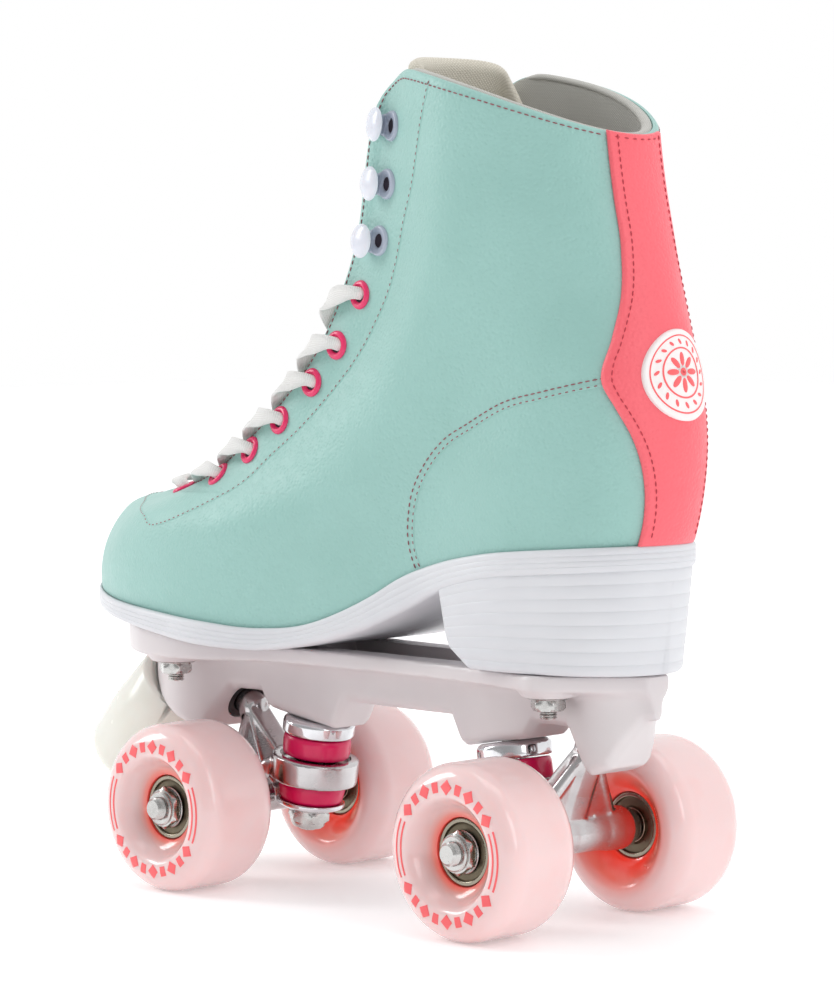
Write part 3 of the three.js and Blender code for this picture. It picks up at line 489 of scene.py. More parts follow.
def moulded(name, code, darker, roughness=0.45, glow=0.0, grain=0.03, flow=0.06):
    """Moulded plastic or rubber: fine spark texture, faint flow clouds, and where glow is over zero some light
    that comes back from inside."""
    f = Finish(name, srgb(code), roughness)
    f.link(f.mix(f.ramp(f.noise(22.0, 3.0), 0.3, 0.75), srgb(code), srgb(darker)), "Base Color")
    f.link(f.ramp(f.noise(120.0, 3.0), 0.3, 0.7, roughness - 0.06, roughness + 0.08), "Roughness")
    f.bump(f.noise(1600.0, 2.0), grain, 0.5)
    f.bump(f.noise(90.0, 2.0), flow, 0.2)
    if glow:
        f.set("Subsurface Weight", glow)
        f.set("Subsurface Radius", (1.0, 0.75, 0.7))
        f.set("Subsurface Scale", 4 * MM)
    return f.material


def metal(name, code, roughness, brushed=None, wear=0.1, pits=0.02):
    """Metal with fine scratches: noise stretched along the brushing, clouded roughness and small pits."""
    f = Finish(name, srgb(code), roughness, 1.0)
    vector = f.stretched(brushed) if brushed else f.coordinates
    scratch = f.noise(700.0, 4.0, vector)
    cloud = f.noise(80.0, 4.0)
    f.link(f.math("ADD", f.ramp(scratch, 0.3, 0.7, roughness * 0.7, roughness + wear),
                  f.ramp(cloud, 0.35, 0.75, 0.0, wear)), "Roughness")
    dark = tuple(0.62 * c for c in srgb(code))
    f.link(f.mix(f.ramp(cloud, 0.45, 0.8, 0.0, 0.7), srgb(code), dark), "Base Color")
    f.bump(scratch, pits, 0.4)
    f.bump(f.noise(160.0, 3.0), pits * 3, 0.25)
    return f.material


def urethane(name):
    """Poured urethane: pale pink at the tread and deeper coral towards the hub, by the mesh's own `glow`
    attribute, which also drives a painted glow:
    emission near the hub that stands in for light shining through into its shaded recess. Light scatters inside,
    and the glossy skin has faint moulding marks."""
    f = Finish(name, srgb("efd0cf"), 0.12)
    glow = f.math("ADD", f.attribute("glow"), f.ramp(f.noise(35.0, 3.0), 0.3, 0.7, -0.06, 0.06), clamp=True)
    warm = f.mix(f.ramp(glow, 0.0, 0.5), srgb("f0d1d0"), srgb("fa8e80"))
    f.link(f.mix(f.ramp(glow, 0.5, 1.0), warm, srgb("f43a2a")), "Base Color")
    f.link(f.ramp(f.noise(200.0, 4.0), 0.3, 0.7, 0.12, 0.24), "Roughness")
    # Painted glow: emission by `glow` near the hub stands in for light coming through the urethane; the wheel is
    # no lamp.
    f.set("Emission Color", (*srgb("ff4a38"), 1))
    f.link(f.ramp(glow, 0.15, 1.0, 0.0, 0.28), "Emission Strength")
    f.bump(f.noise(60.0, 2.0), 0.15, 0.15)
    f.set("Subsurface Weight", 0.4)
    f.set("Subsurface Radius", (1.0, 0.45, 0.4))
    f.set("Subsurface Scale", 7 * MM)
    f.set("Coat Weight", 0.6)
    f.set("Coat Roughness", 0.05)
    return f.material


MINT = leather("mint leather", "9cc7c0", "8fbbb3")
CORAL = leather("coral leather", "fa6e78", "f0606c")
THREAD = cloth("coral thread", "a8646a", "744048", 2600.0, 0.05)
MESH = cloth("beige mesh", "e8e3d6", "c2bbaa", 980.0, 0.16, mapped="cloth")
LINING = cloth("grey lining cloth", "cbcac4", "a5a49e", 1100.0, 0.08)
FOAM = cloth("insole cloth", "dcd8ce", "b8b2a6", 900.0, 0.1)
LACE = cloth("white lace braid", "fdfdfc", "dcdad6", 1250.0, 0.16, mapped="cloth")
SOLE = moulded("white sole rubber", "dcdde1", "d3d4d9", 0.4, 0.05)
NYLON = moulded("white nylon", "dcd6d7", "d2cacc", 0.34, 0.1)
STOP_RUBBER = moulded("cream stop urethane", "f0f0ea", "e8e7dc", 0.2, 0.35, 0.01, 0.03)
PRINT = moulded("white badge", "f8f4f3", "efe9e8", 0.3)
INK = moulded("coral ink", "ff6d70", "f25a60", 0.35)
CUSHION = moulded("magenta cushion urethane", "e8175f", "c90d4e", 0.16, 0.25)
BLACK = moulded("black cup rubber", "1b1a1d", "121114", 0.6)
EYELET = moulded("pink enamel", "f0386e", "d92560", 0.18)
CAP = moulded("white hook cap", "e6e8f0", "d8dbe6", 0.2, 0.2)
HUB = moulded("coral hub nylon", "ff5544", "f04434", 0.3, 0.2)
URETHANE = urethane("pink urethane")
CAST = metal("cast aluminium", "cdcacb", 0.14, (1, 1, 6), 0.1, 0.012)
CHROME = metal("chrome plate", "e4e4e7", 0.05, None, 0.06, 0.01)
ZINC = metal("zinc plate", "c9c8c6", 0.18, (1, 1, 3), 0.1, 0.008)
STEEL = metal("bearing steel", "9b9485", 0.16, None, 0.1, 0.02)
SHIELD = metal("bearing shield", "6e6656", 0.3, None, 0.12, 0.02)
HOOK_STEEL = moulded("hook enamel", "bcc3d2", "a4acbd", 0.16)
# Painted shade: a near-black disc stands for the shaded inside of each eyelet hole.
HOLE_SHADE = moulded("painted hole shade", "3a2a38", "2a1e2a", 0.7)

# ---- Boot surface -----------------------------------------------------------------------------------
# Level t runs from 0 at the sole to 1 at the top line. Angle phi runs from 0 at a slice's front to +-180
# degrees at its back, negative on the left. Depth goes inwards from the leather's face.
FRONT = chain([(-155, 96), (-156, 109.5), (-146, 124), (-124.5, 131), (-99.5, 138), (-75.5, 152), (-48, 172),
               (-23.5, 197.5), (-7.5, 226.5), (-1.5, 252), (5.5, 283)])
BACK = chain([(116.5, 126), (120, 138), (121.5, 152), (120.5, 168), (118, 185), (114.5, 203), (109.5, 222),
              (105, 240), (102, 257)])
FRONT_PACE = curve([(0, 0), (0.2, 0.2), (0.5, 0.51), (0.8, 0.82), (1, 1)])
BACK_PACE = curve([(0, 0), (0.2, 0.28), (0.5, 0.58), (0.8, 0.83), (1, 1)])
STATIONS = np.array([0, 0.06, 0.16, 0.32, 0.5, 0.68, 0.85, 0.95, 1])
HALF_WIDTHS = np.array([
    (0, 0, 26, 39.5, 45, 36, 30, 31, 22.5, 0),
    (0.12, 0, 21, 40, 46, 39, 32, 32, 22.5, 0),
    (0.3, 0, 19, 33, 37, 38, 33, 29.5, 20.5, 0),
    (0.5, 0, 23.5, 31, 32, 36, 33, 26, 16, 0),
    (0.75, 0, 25.5, 29.5, 33, 38, 34, 25, 15, 0),
    (1, 0, 26, 28.5, 35.5, 38.5, 35, 25.5, 15, 0)])
SQUARED = curve(np.column_stack([HALF_WIDTHS[:, 0], HALF_WIDTHS[:, 1:] ** 2]))
FEATHER = curve([(-155, 101), (-120, 97.6), (-85, 95.2), (-60, 93.3), (-35, 92.2), (-18, 94), (0, 99.8),
                 (12, 105.2), (25, 112), (40, 117.3), (60, 121.6), (93, 125), (118, 126.5)])
SOLE_BOTTOM = curve([(-157, 96), (-140, 94), (-123, 92), (-105, 90.3), (-85, 88.2), (-64, 85.9), (-46, 85.1),
                     (-32, 85.4), (-18, 87.8), (-6, 90.5), (3, 93), (25, 101.7), (42, 109.4), (60, 114),
                     (93, 117.5), (119, 119)])
THROAT = 0.235
OPENING = curve([(0.25, 26), (0.42, 29.5), (0.68, 28.5), (1, 26.5)])
FLAP_CORNER, FLAP_CORNER_WIDTH = 0.14, 0.62
UPPER_THICKNESS, LINING_OUT, LINING_IN = 2.2, 3.0, 5.2
GAP = 0.3


def half_width(level, s):
    """Half the slice's width at share s of its length: the root of a smooth curve through squared widths."""
    shape = s.shape
    g, s = SQUARED(level.ravel()), s.ravel()
    step = np.diff(STATIONS)
    slope = np.diff(g, axis=1) / step
    tangent = np.empty_like(g)
    tangent[:, 1:-1] = (slope[:, :-1] * step[1:] + slope[:, 1:] * step[:-1]) / (step[1:] + step[:-1])
    tangent[:, 0] = 2 * slope[:, 0] - tangent[:, 1]
    tangent[:, -1] = 2 * slope[:, -1] - tangent[:, -2]
    i = np.clip(np.searchsorted(STATIONS, s) - 1, 0, len(step) - 1)
    row = np.arange(len(s))
    u, h = (s - STATIONS[i]) / step[i], step[i]
    out = (((2 * u - 3) * u * u + 1) * g[row, i] + ((u - 2) * u + 1) * u * h * tangent[row, i]
           + (3 - 2 * u) * u * u * g[row, i + 1] + (u - 1) * u * u * h * tangent[row, i + 1])
    return np.sqrt(np.maximum(out, 0)).reshape(shape)


def skin(t, phi, depth=0.0):
    """Points of the boot's skin. Share s = (1 - cos phi) / 2 blends the front profile into the back one, the
    half width pushes the point sideways, and low levels follow the sole's feather line."""
    t, phi, depth = np.broadcast_arrays(*(np.asarray(v, float) for v in (t, phi, depth)))
    level = np.clip(t, 0, 1)
    s = (1 - np.cos(phi)) / 2
    front, back = FRONT(FRONT_PACE(level)), BACK(BACK_PACE(level))
    foot = FRONT(0.0) * (1 - s[..., None]) + BACK(0.0) * s[..., None]
    x = front[..., 0] * (1 - s) + back[..., 0] * s
    z = front[..., 1] * (1 - s) + back[..., 1] * s
    z = z + (FEATHER(foot[..., 0]) - foot[..., 1]) * (1 - ease(level / 0.5))
    z = z + 4.5 * np.sin(math.pi * s) * level ** 6 + np.maximum(t - 1, 0) * 190 + GAP
    swing = 5 * np.clip(-x / 150, 0, 1) ** 2 * (1 - level)
    run = FRONT(FRONT_PACE(np.clip(level + 0.01, 0, 1))) - FRONT(FRONT_PACE(np.clip(level - 0.01, 0, 1)))
    run = unit(run)
    at_front, at_back = (1 - s) ** 1.5, s ** 1.5
    x = x + depth * (run[..., 1] * at_front - at_back)
    z = z - depth * run[..., 0] * np.clip(level / 0.1, 0, 1) * at_front
    y = swing + np.sign(phi) * half_width(level, s) * (1 - depth / 36)
    return np.stack([x, y, z], -1)


def outwards(t, phi):
    """The skin's outward unit normal, from its two tangents."""
    step = 2e-3
    t = np.clip(t, 0.004, 0.995)
    up = skin(t + step, phi) - skin(t - step, phi)
    round_it = skin(t, phi + step) - skin(t, phi - step)
    return unit(np.cross(up, round_it))


def edge_table():
    """The angle of a flap's edge for a table of levels: where the half width first reaches the opening's."""
    levels = np.linspace(THROAT, 1, 300)
    u = np.clip((levels - THROAT) / 0.1, 0, 1)
    half = np.sqrt(1 - (1 - u) ** 2) * OPENING(np.clip(levels, 0.25, 1))
    angles = np.linspace(0, 1.2, 500)
    points = skin(levels[:, None], angles[None, :], 0.0)
    width = points[..., 1] - points[:, :1, 1]
    reached = np.maximum.accumulate(width, axis=1)
    return levels, np.array([np.interp(h, row, angles) for h, row in zip(half, reached)])


EDGE_LEVELS, EDGE_ANGLES = edge_table()


def edge_angle(t):
    """The angle of the flap's edge at a level, 0 below the throat."""
    return np.where(np.asarray(t) <= THROAT, 0.0, np.interp(t, EDGE_LEVELS, EDGE_ANGLES))


def arc_table(t, start, towards, reach=2.2):
    """Angles round the skin at one level, and how far along it each lies from the start."""
    angles = start + towards * np.linspace(0, reach, 500)
    points = skin(t, angles)
    return angles, np.r_[0, np.cumsum(np.linalg.norm(np.diff(points, axis=0), axis=1))]


def from_edge(t, distance):
    """The angle at a distance along the skin behind a flap's edge."""
    angles, length = arc_table(t, float(edge_angle(t)), 1)
    return float(np.interp(distance, length, angles))


def from_back(t, distance):
    """The angle at a distance along the skin from the back's middle line."""
    angles, length = arc_table(t, math.pi, -1)
    return float(np.interp(distance, length, angles))


def with_corner(t, phi, edge):
    """Levels near the top, pulled down in a quarter ellipse at the flaps' top corners."""
    near = np.clip((np.abs(phi) - edge) / FLAP_CORNER_WIDTH, 0, 1)
    drop = FLAP_CORNER * (1 - np.sqrt(1 - (1 - near) ** 2))
    return t - drop * np.clip((t - 0.75) / 0.25, 0, 1)


def boot_shell(name, rows, columns, outer_depth, inner_depth, fold):
    """A skin from flap edge to flap edge, closed at its rims. Its edges are folded: within `fold` millimetres
    of a rim the outer face sinks along a parabola."""
    t = np.unique(np.concatenate([[0, 0.004, 0.01], np.linspace(0.02, 0.97, rows), THROAT + 0.1 * np.array(
        [0, 0.01, 0.03, 0.07, 0.13, 0.2, 0.3]), [0.98, 0.986, 0.991, 0.995, 0.998, 1]]))
    q = np.concatenate([[0, 0.0008, 0.002, 0.0038, 0.006, 0.009], np.linspace(0.013, 0.5, columns // 2)])
    q = np.concatenate([q, 1 - q[-2::-1]])
    edge = edge_angle(t)[:, None]
    phi = edge + (2 * math.pi - 2 * edge) * q[None, :]
    phi = np.where(phi <= math.pi, -phi, 2 * math.pi - phi)
    level = with_corner(t[:, None], phi, edge)
    open_rim = np.where(t[:, None] > THROAT, np.minimum(q, 1 - q)[None, :] * 330, 99)
    top_rim = (1 - t[:, None]) * 150 + 0 * q[None, :]
    sink = 1.0 * np.clip(1 - np.minimum(open_rim, top_rim) / fold, 0, 1) ** 2
    sink = sink + 0.25 * np.exp(-(t[:, None] / 0.012) ** 2)
    points, faces = wall(skin(level, phi, outer_depth + sink), skin(level, phi, inner_depth - 0.3 * sink))
    low = t <= THROAT
    floor = FEATHER(points[0, :, 0]) + 2 * GAP
    points[0, :, 2] = floor
    column = 2 * len(q)
    rim_a = len(q) - 1
    row_of = faces // column
    spot = faces % column
    on_rim = (((spot == rim_a) | (spot == rim_a + 1)).all(1) | ((spot == 0) | (spot == column - 1)).all(1))
    below = low[np.minimum(row_of, len(t) - 1)].all(1)
    return piece(name, points, faces[~(on_rim & below)], sharp=60)


def along_skin(rows, count=400, side=-1, lift=0.0, aside=0.0):
    """A smooth line over the skin through (level, angle) rows, moved `aside` along the skin: its points, its
    outward normals and its length."""
    path = chain(rows)(np.linspace(0, 1, 3000))
    t, phi = path[:, 0], side * path[:, 1]
    points = skin(t, phi, -lift)
    length = np.r_[0, np.cumsum(np.linalg.norm(np.diff(points, axis=0), axis=1))]
    at = np.linspace(0, length[-1], count)
    t, phi = np.interp(at, length, t), np.interp(at, length, phi)
    points, normals = skin(t, phi, -lift), outwards(t, phi)
    if aside:
        points = points + side * aside * unit(np.cross(normals, np.gradient(points, axis=0)))
    return points, normals, length[-1]


def stitches(rows, side=-1, pitch=2.35, length=1.85, radius=0.23, lift=0.0, aside=0.0):
    """Threads of a seam: each is a low arch of five small rings whose ends dip into the leather."""
    count = max(int(along_skin(rows, 8, side, lift)[2] / pitch), 4)
    points, normals, _ = along_skin(rows, count, side, lift, aside)
    ahead = unit(np.gradient(points, axis=0))
    across = np.cross(ahead, normals)
    u = np.linspace(-1, 1, 5)
    angle = np.arange(6) * math.pi / 3
    r = radius * np.sqrt(np.maximum(1 - u ** 4, 0.02))
    height = 0.22 * (1 - u * u) - 0.05
    centre = points[:, None] + ahead[:, None] * (u * length / 2)[None, :, None] \
        + normals[:, None] * height[None, :, None]
    ring = (normals[:, None, None] * np.cos(angle)[None, None, :, None]
            + across[:, None, None] * np.sin(angle)[None, None, :, None]) * r[None, :, None, None]
    grid = centre[:, :, None] + ring
    ends = [centre[:, :1, None].repeat(6, 2), grid, centre[:, -1:, None].repeat(6, 2)]
    grid = np.concatenate(ends, 1)
    one = grid_faces(7, 6, wrap_columns=True)
    faces = (one[None] + (np.arange(count) * 42)[:, None, None]).reshape(-1, 4)
    return grid.reshape(-1, 3), faces


def welt(rows, side=-1, radius=0.5, lift=0.0, count=260):
    """The folded edge of an overlaid panel: a half-sunk cord of leather along a line on the skin."""
    points, normals, _ = along_skin(rows, count, side, lift)
    ahead = unit(np.gradient(points, axis=0))
    return ribbon(points - normals * radius * 0.35, np.cross(ahead, normals), radius * 1.5, radius, 8, 2)


def stand(points, origin, normal, forward):
    """Puts points made about Z at an origin on the skin: Z outwards, X forwards."""
    z = unit(np.asarray(normal, float))
    x = unit(forward - (forward @ z) * z)
    return np.asarray(points).reshape(-1, 3) @ np.array([x, np.cross(z, x), z]) + origin


def patch(name, levels, half_of, outer, inner, centre=math.pi, columns=72, swell=0.0, shoulders=None):
    """A panel on the skin about the angle `centre`: each row reaches half_of(level) to both sides, its outer
    face swells by `swell` in the middle and folds down at its rims along a parabola."""
    u = np.sin(np.linspace(-math.pi / 2, math.pi / 2, columns + 1))
    reach = np.array([half_of(t) for t in levels])
    t = levels[:, None] + 0 * u[None, :]
    if shoulders is not None:
        t = t - shoulders(levels)[:, None] * u[None, :] ** 4
    phi = centre + reach[:, None] * u[None, :]
    phi = np.where(phi > math.pi, phi - 2 * math.pi, phi)
    if centre > 1:
        phi = np.where(phi > 0, -phi, -phi)
    low, high = levels[0], levels[-1]
    rim = np.minimum((1 - np.abs(u))[None, :] * 40 * np.maximum(reach[:, None], 0.02),
                     np.minimum(levels - low, high - levels)[:, None] * 170)
    fold = np.clip(1 - rim / 0.9, 0, 1) ** 2
    thick = inner - outer
    points, faces = wall(skin(t, phi, outer + 0.42 * thick * fold - swell * (1 - u[None, :] ** 2)),
                         skin(t, phi, inner - 0.2 * thick * fold))
    across = np.concatenate([u, u[::-1]])[None, :, None] * 22
    up = (np.concatenate([levels[:, None] + 0 * u, levels[:, None] + 0 * u], 1) * 170)[..., None]
    cloth_map = np.concatenate([across + 0 * up, up, 0 * up], -1).reshape(-1, 3) * MM
    return piece(name, points, faces, sharp=60, attributes={"cloth": cloth_map})


# ---- Upper ------------------------------------------------------------------------------------------
finish_piece(boot_shell("boot upper", 130, 260, 0.0, UPPER_THICKNESS, 1.7), "root", MINT,
             ["boot_upper"])
finish_piece(boot_shell("boot lining", 90, 180, LINING_OUT, LINING_IN, 2.2), "root", LINING,
             ["boot_lining"])

def collar_binding():
    """The lining's rolled top edge: a padded cord inside the top line, from one flap's corner to the
    other's."""
    edge = float(edge_angle(1.0))
    phi = np.concatenate([-np.linspace(edge + 0.35, math.pi, 160), np.linspace(math.pi, edge + 0.35, 160)[1:]])
    level = with_corner(1.0, phi, edge)
    points = skin(level, phi, 4.0) - (0, 0, 0.5)
    inwards = skin(level, phi, 6.0) - skin(level, phi, 2.0)
    taper = np.clip(np.minimum(np.arange(len(phi)), len(phi) - 1 - np.arange(len(phi))) / 12, 0.1, 1)
    return ribbon(points, inwards, 1.8 * taper, 1.2 * taper, 14, 2)


collar = finish_piece(piece("collar binding", *collar_binding()), "root", LINING)

STAY_HALF = curve([(0, 13.3), (0.1, 14.4), (0.19, 18.3), (0.255, 22.8), (0.318, 26.2), (0.43, 21), (0.53, 16.1),
                   (0.67, 13.1), (0.81, 12.6), (1, 12.5)])


def stay_reach(t, inset=0.0):
    """Half the back stay's width at a level, as an angle from the back."""
    return math.pi - from_back(t, float(STAY_HALF(t)) - inset)


stay_levels = np.concatenate([[0.001, 0.003, 0.008, 0.016], np.linspace(0.03, 0.985, 110),
                              [0.99, 0.995, 0.998, 1]])
finish_piece(patch("back stay", stay_levels, stay_reach, -2.0, -0.1), "root", CORAL,
             ["back_stay"])

FACING = [(0.988, 1.407), (0.92, 1.333), (0.838, 1.278), (0.758, 1.194), (0.705, 1.201), (0.66, 1.208),
          (0.608, 1.197), (0.557, 1.197), (0.47, 1.176), (0.395, 1.148), (0.325, 1.093), (0.245, 1.10),
          (0.185, 1.058), (0.147, 1.026), (0.13, 0.981), (0.145, 0.852), (0.158, 0.677), (0.164, 0.35),
          (0.166, 0.01)]
COUNTER = [(0.315, 2.66), (0.312, 2.541), (0.305, 2.349), (0.295, 2.168), (0.265, 2.049), (0.235, 1.958),
           (0.193, 1.923), (0.133, 1.916), (0.092, 1.923), (0.058, 1.934), (0.012, 1.962)]


def flap_seam():
    """Rows of the seam that runs 2.2 mm inside the flap's edge, round its top corner and along the top line."""
    rows = [(t, from_edge(t, 2.2)) for t in np.linspace(0.262, 0.93, 14)]
    edge = float(edge_angle(1.0))
    for phi in np.linspace(edge + 0.1, 2.72, 16):
        rows.append((float(with_corner(1.0, phi, edge)) - 0.0145, float(phi)))
    return rows


FLAP_SEAM = flap_seam()
STAY_SEAM = [(t, math.pi - stay_reach(t, 3.0)) for t in np.linspace(0.985, 0.02, 26)]
STAY_TOP = [(0.985, math.pi - 0.001)] + [(0.985, float(phi)) for phi in
                                        np.linspace(math.pi - 0.1, math.pi - stay_reach(0.985, 3.0), 6)]
seams, edges = [], []
for _, side in SIDES:
    seams += [stitches(FACING, side), stitches(COUNTER, side), stitches(COUNTER, side, aside=2.0),
              stitches(FLAP_SEAM, side)]
    edges += [welt(FACING, side, 0.42), welt(COUNTER, side, 0.42)]
finish_piece(piece("seam threads", *merged(seams)), "root", THREAD)
finish_piece(piece("panel edges", *merged(edges)), "root", MINT)
stay_seams = [stitches(rows, side, lift=2.0) for _, side in SIDES for rows in (STAY_SEAM, STAY_TOP)]
STAY_THREAD = cloth("red thread", "d23c4c", "9c2434", 2600.0, 0.05)
finish_piece(piece("back stay threads", *merged(stay_seams)), "root", STAY_THREAD)

# ---- Heel badge -------------------------------------------------------------------------------------
BADGE = {"level": 0.33, "radius": 14.0, "face": -2.9, "rise": 0.0079}


def on_badge(x, y, lift=0.0):
    """A point x along and y up the badge's face, bent round the boot's back."""
    x, y = np.broadcast_arrays(np.asarray(x, float), np.asarray(y, float))
    t = BADGE["level"] + y * BADGE["rise"]
    half = from_back(BADGE["level"], 10.0)
    phi = math.pi - (math.pi - half) * np.abs(x) / 10
    return skin(t, np.where(x < 0, -phi, phi), BADGE["face"] - lift)


def badge_rings(profile, segments=96):
    """Rings of a disc's (radius, lift) profile, laid on the badge's face."""
    angle = np.arange(segments) * 2 * math.pi / segments
    rings = np.array([on_badge(r * np.cos(angle), r * np.sin(angle), h) for r, h in profile])
    return rings, grid_faces(len(rings), segments, wrap_rows=True, wrap_columns=True)


R = BADGE["radius"]
badge_section = [(1e-3, -1.8), (R - 0.6, -1.8), (R, -1.5), (R, -0.1), (R - 0.3, 0.35), (R - 0.9, 0.45),
                 (R - 1.5, 0.2), (R - 2, 0.1), (9, 0.1), (4, 0.1), (1e-3, 0.1)]
finish_piece(piece("heel badge", *badge_rings(badge_section)), "root", PRINT, ["heel_badge"])


def flat_mark(outline):
    """A low raised mark on the badge: a closed outline of (x, y) points about its own middle."""
    outline = np.array(outline, float)
    centre = outline.mean(0)
    ring = lambda share, lift: on_badge(*(centre + (outline - centre) * share).T, lift)
    rings = np.array([ring(1e-4, 0.0), ring(1, 0.0), ring(1, 0.2), ring(0.94, 0.24), ring(1e-4, 0.24)])
    return rings, grid_faces(5, len(outline), wrap_columns=True)


def badge_marks():
    """Two printed rings, a wreath of small leaves between them and a flower of eight petals within."""
    shells = [badge_rings([(r - w, 0), (r + w, 0), (r + w, 0.2), (r - w, 0.2)]) for r, w in ((11.9, 0.22),
                                                                                         (7.7, 0.25))]
    turn = np.linspace(0, 2 * math.pi, 14, endpoint=False)
    leaf = np.column_stack([1.05 * np.cos(turn), 0.5 * np.sin(turn)])
    petal = np.column_stack([2.2 * np.cos(turn), 0.95 * np.sin(turn)])
    for k in range(16):
        a = k * math.pi / 8
        spin = np.array([[math.cos(a), math.sin(a)], [-math.sin(a), math.cos(a)]])
        tilt = np.array([[math.cos(0.6), math.sin(0.6)], [-math.sin(0.6), math.cos(0.6)]])
        shells.append(flat_mark((leaf @ tilt + (9.8, 0)) @ spin))
        if k % 2 == 0:
            shells.append(flat_mark((petal + (4.1, 0)) @ spin))
    shells.append(badge_rings([(1e-3, 0), (1.2, 0), (1.2, 0.2), (1e-3, 0.22)]))
    return merged(shells)


finish_piece(piece("badge print", *badge_marks()), "root", INK)

# ---- Tongue and lace --------------------------------------------------------------------------------
def above_lacing(t):
    """0 under the lacing and 1 above it."""
    return ease((np.asarray(t, float) - 0.72) / 0.16)


def tongue_piece():
    """The tongue: tucked deep under the lacing, wide and close behind the flaps above it, and padded."""
    levels = np.concatenate([[0.262, 0.264, 0.268], np.linspace(0.275, 1.0, 90), [1.008, 1.014, 1.018, 1.02]])
    t = levels[:, None]
    u = np.sin(np.linspace(-math.pi / 2, math.pi / 2, 81))[None, :]
    reach = np.array([from_edge(level, 7 + 13 * float(above_lacing(level))) for level in levels])[:, None]
    depth = 11 - 2.6 * above_lacing(t)
    quilt = 0.35 * np.exp(-((np.abs(u) - 0.86) / 0.02) ** 2)
    rim = np.minimum((1 - np.abs(u)) * 26, (1.02 - t) * 190)
    fold = 1.9 * np.clip(1 - rim / 2.4, 0, 1) ** 2
    level = t - 0.09 * above_lacing(t) * u ** 4
    outer = skin(level, u * reach, depth + fold + quilt)
    points, faces = wall(outer, skin(level, u * reach, depth + 4.5 - fold))
    flat = np.concatenate([u, u[:, ::-1]], 1) * 30 + 0 * t
    up = t * 190 + 0 * flat
    cloth_map = np.stack([flat, up, 0 * up], -1).reshape(-1, 3) * MM
    return piece("tongue", points, faces, sharp=60, attributes={"cloth": cloth_map})


tongue = finish_piece(tongue_piece(), "root", MESH, ["tongue"])

EYELETS = [(0.25, 17), (0.3, 15), (0.357, 13.5), (0.421, 13.5), (0.501, 13.2), (0.574, 13.2), (0.661, 13.8)]
HOOKS = [(0.911, 13.4), (0.826, 14.6), (0.743, 14.9)]
OVER_FLAP, UNDER_FLAP = -3.0, 7.1


def inside_gap(t, distance):
    """The angle of a place in the lacing gap, at a distance inwards from the flap's edge."""
    return float(edge_angle(t)) * (1 - distance / float(OPENING(np.clip(t, 0.25, 1))))


def lace_knots():
    """(level, angle, depth, pinch) knots of the criss-cross lacing: each run leaves an eyelet underneath,
    crosses the gap and comes over the other flap's edge down into the next eyelet."""
    spots = [from_edge(t, d) for t, d in EYELETS]

    def half(side):
        rows, at = [], side
        for i in range(len(EYELETS) - 1):
            t0, t1 = EYELETS[i][0], EYELETS[i + 1][0]
            mix = lambda u: t0 + (t1 - t0) * u
            brim = float(edge_angle(mix(0.84)))
            rows += [(t0, at * spots[i], UNDER_FLAP, 1), (mix(0.25), at * inside_gap(mix(0.25), 4), 6.7, 0),
                     (mix(0.5), 0, 4.2 if side < 0 else 6.2, 0),
                     (mix(0.7), -at * inside_gap(mix(0.7), 5.5), 3.4, 0),
                     (mix(0.79), -at * inside_gap(mix(0.79), 1.3), -0.6, 0),
                     (mix(0.86), -at * brim * 1.02, -2.5, 0),
                     (mix(0.94), -at * (brim + (spots[i + 1] - brim) * 0.55), -4.0, 0),
                     (t1, -at * spots[i + 1], OVER_FLAP + 1.2, 1)]
            at = -at
        t, phi = EYELETS[-1][0], spots[-1]
        return rows + [(t, at * phi, UNDER_FLAP, 1), (t - 0.03, at * (phi + 0.14), UNDER_FLAP, 0),
                       (t - 0.11, at * (phi + 0.16), UNDER_FLAP, 0)]

    t, phi = EYELETS[0][0], spots[0]
    edge = float(edge_angle(t))
    bar_rows = [(t, -phi, OVER_FLAP + 1.4, 1), (t, -phi * 0.75, -3.2, 0), (t, -edge * 0.5, -2.6, 0),
                (t, edge * 0.5, -2.6, 0), (t, phi * 0.75, -3.2, 0), (t, phi, OVER_FLAP + 1.4, 1)]
    return np.array(half(-1)[::-1] + bar_rows + half(1), float)


def lace_piece():
    """A flat braid along the knots. Its width lies up the boot, and it bunches where it goes through
    a hole."""
    knots = lace_knots()
    xyz = skin(knots[:, 0], knots[:, 1], knots[:, 2])
    length = np.r_[0, np.cumsum(np.maximum(np.linalg.norm(np.diff(xyz, axis=0), axis=1), 0.5))]
    path = curve(np.column_stack([length, knots]))(np.linspace(0, length[-1], 2600))
    t, phi, depth, pinch = path.T
    points = skin(t, phi, depth)
    run = np.r_[0, np.cumsum(np.linalg.norm(np.diff(points, axis=0), axis=1))]
    at = np.linspace(0, run[-1], 2600)
    t, phi, depth, pinch = (np.interp(at, run, v) for v in (t, phi, depth, pinch))
    points = skin(t, phi, depth)
    up = skin(t + 0.01, phi, depth) - skin(t - 0.01, phi, depth)
    pinch = np.clip(pinch, 0, 1)
    rings, faces = ribbon(points, up, 3.5 - 1.4 * pinch, 0.85 + 0.7 * pinch, 20, 2.8)
    angle = np.arange(20) * 2 * math.pi / 20
    u = np.tile(3.7 * np.cos(angle), (len(rings), 1))
    v = np.repeat(np.r_[0, at, at[-1]][:, None], 20, 1)
    cloth_map = np.stack([u + v, u - v, 0 * u], -1).reshape(-1, 3) * MM / 1.414
    return piece("lace", rings, faces, sharp=60, attributes={"cloth": cloth_map})


finish_piece(lace_piece(), "root", LACE, ["lace"])

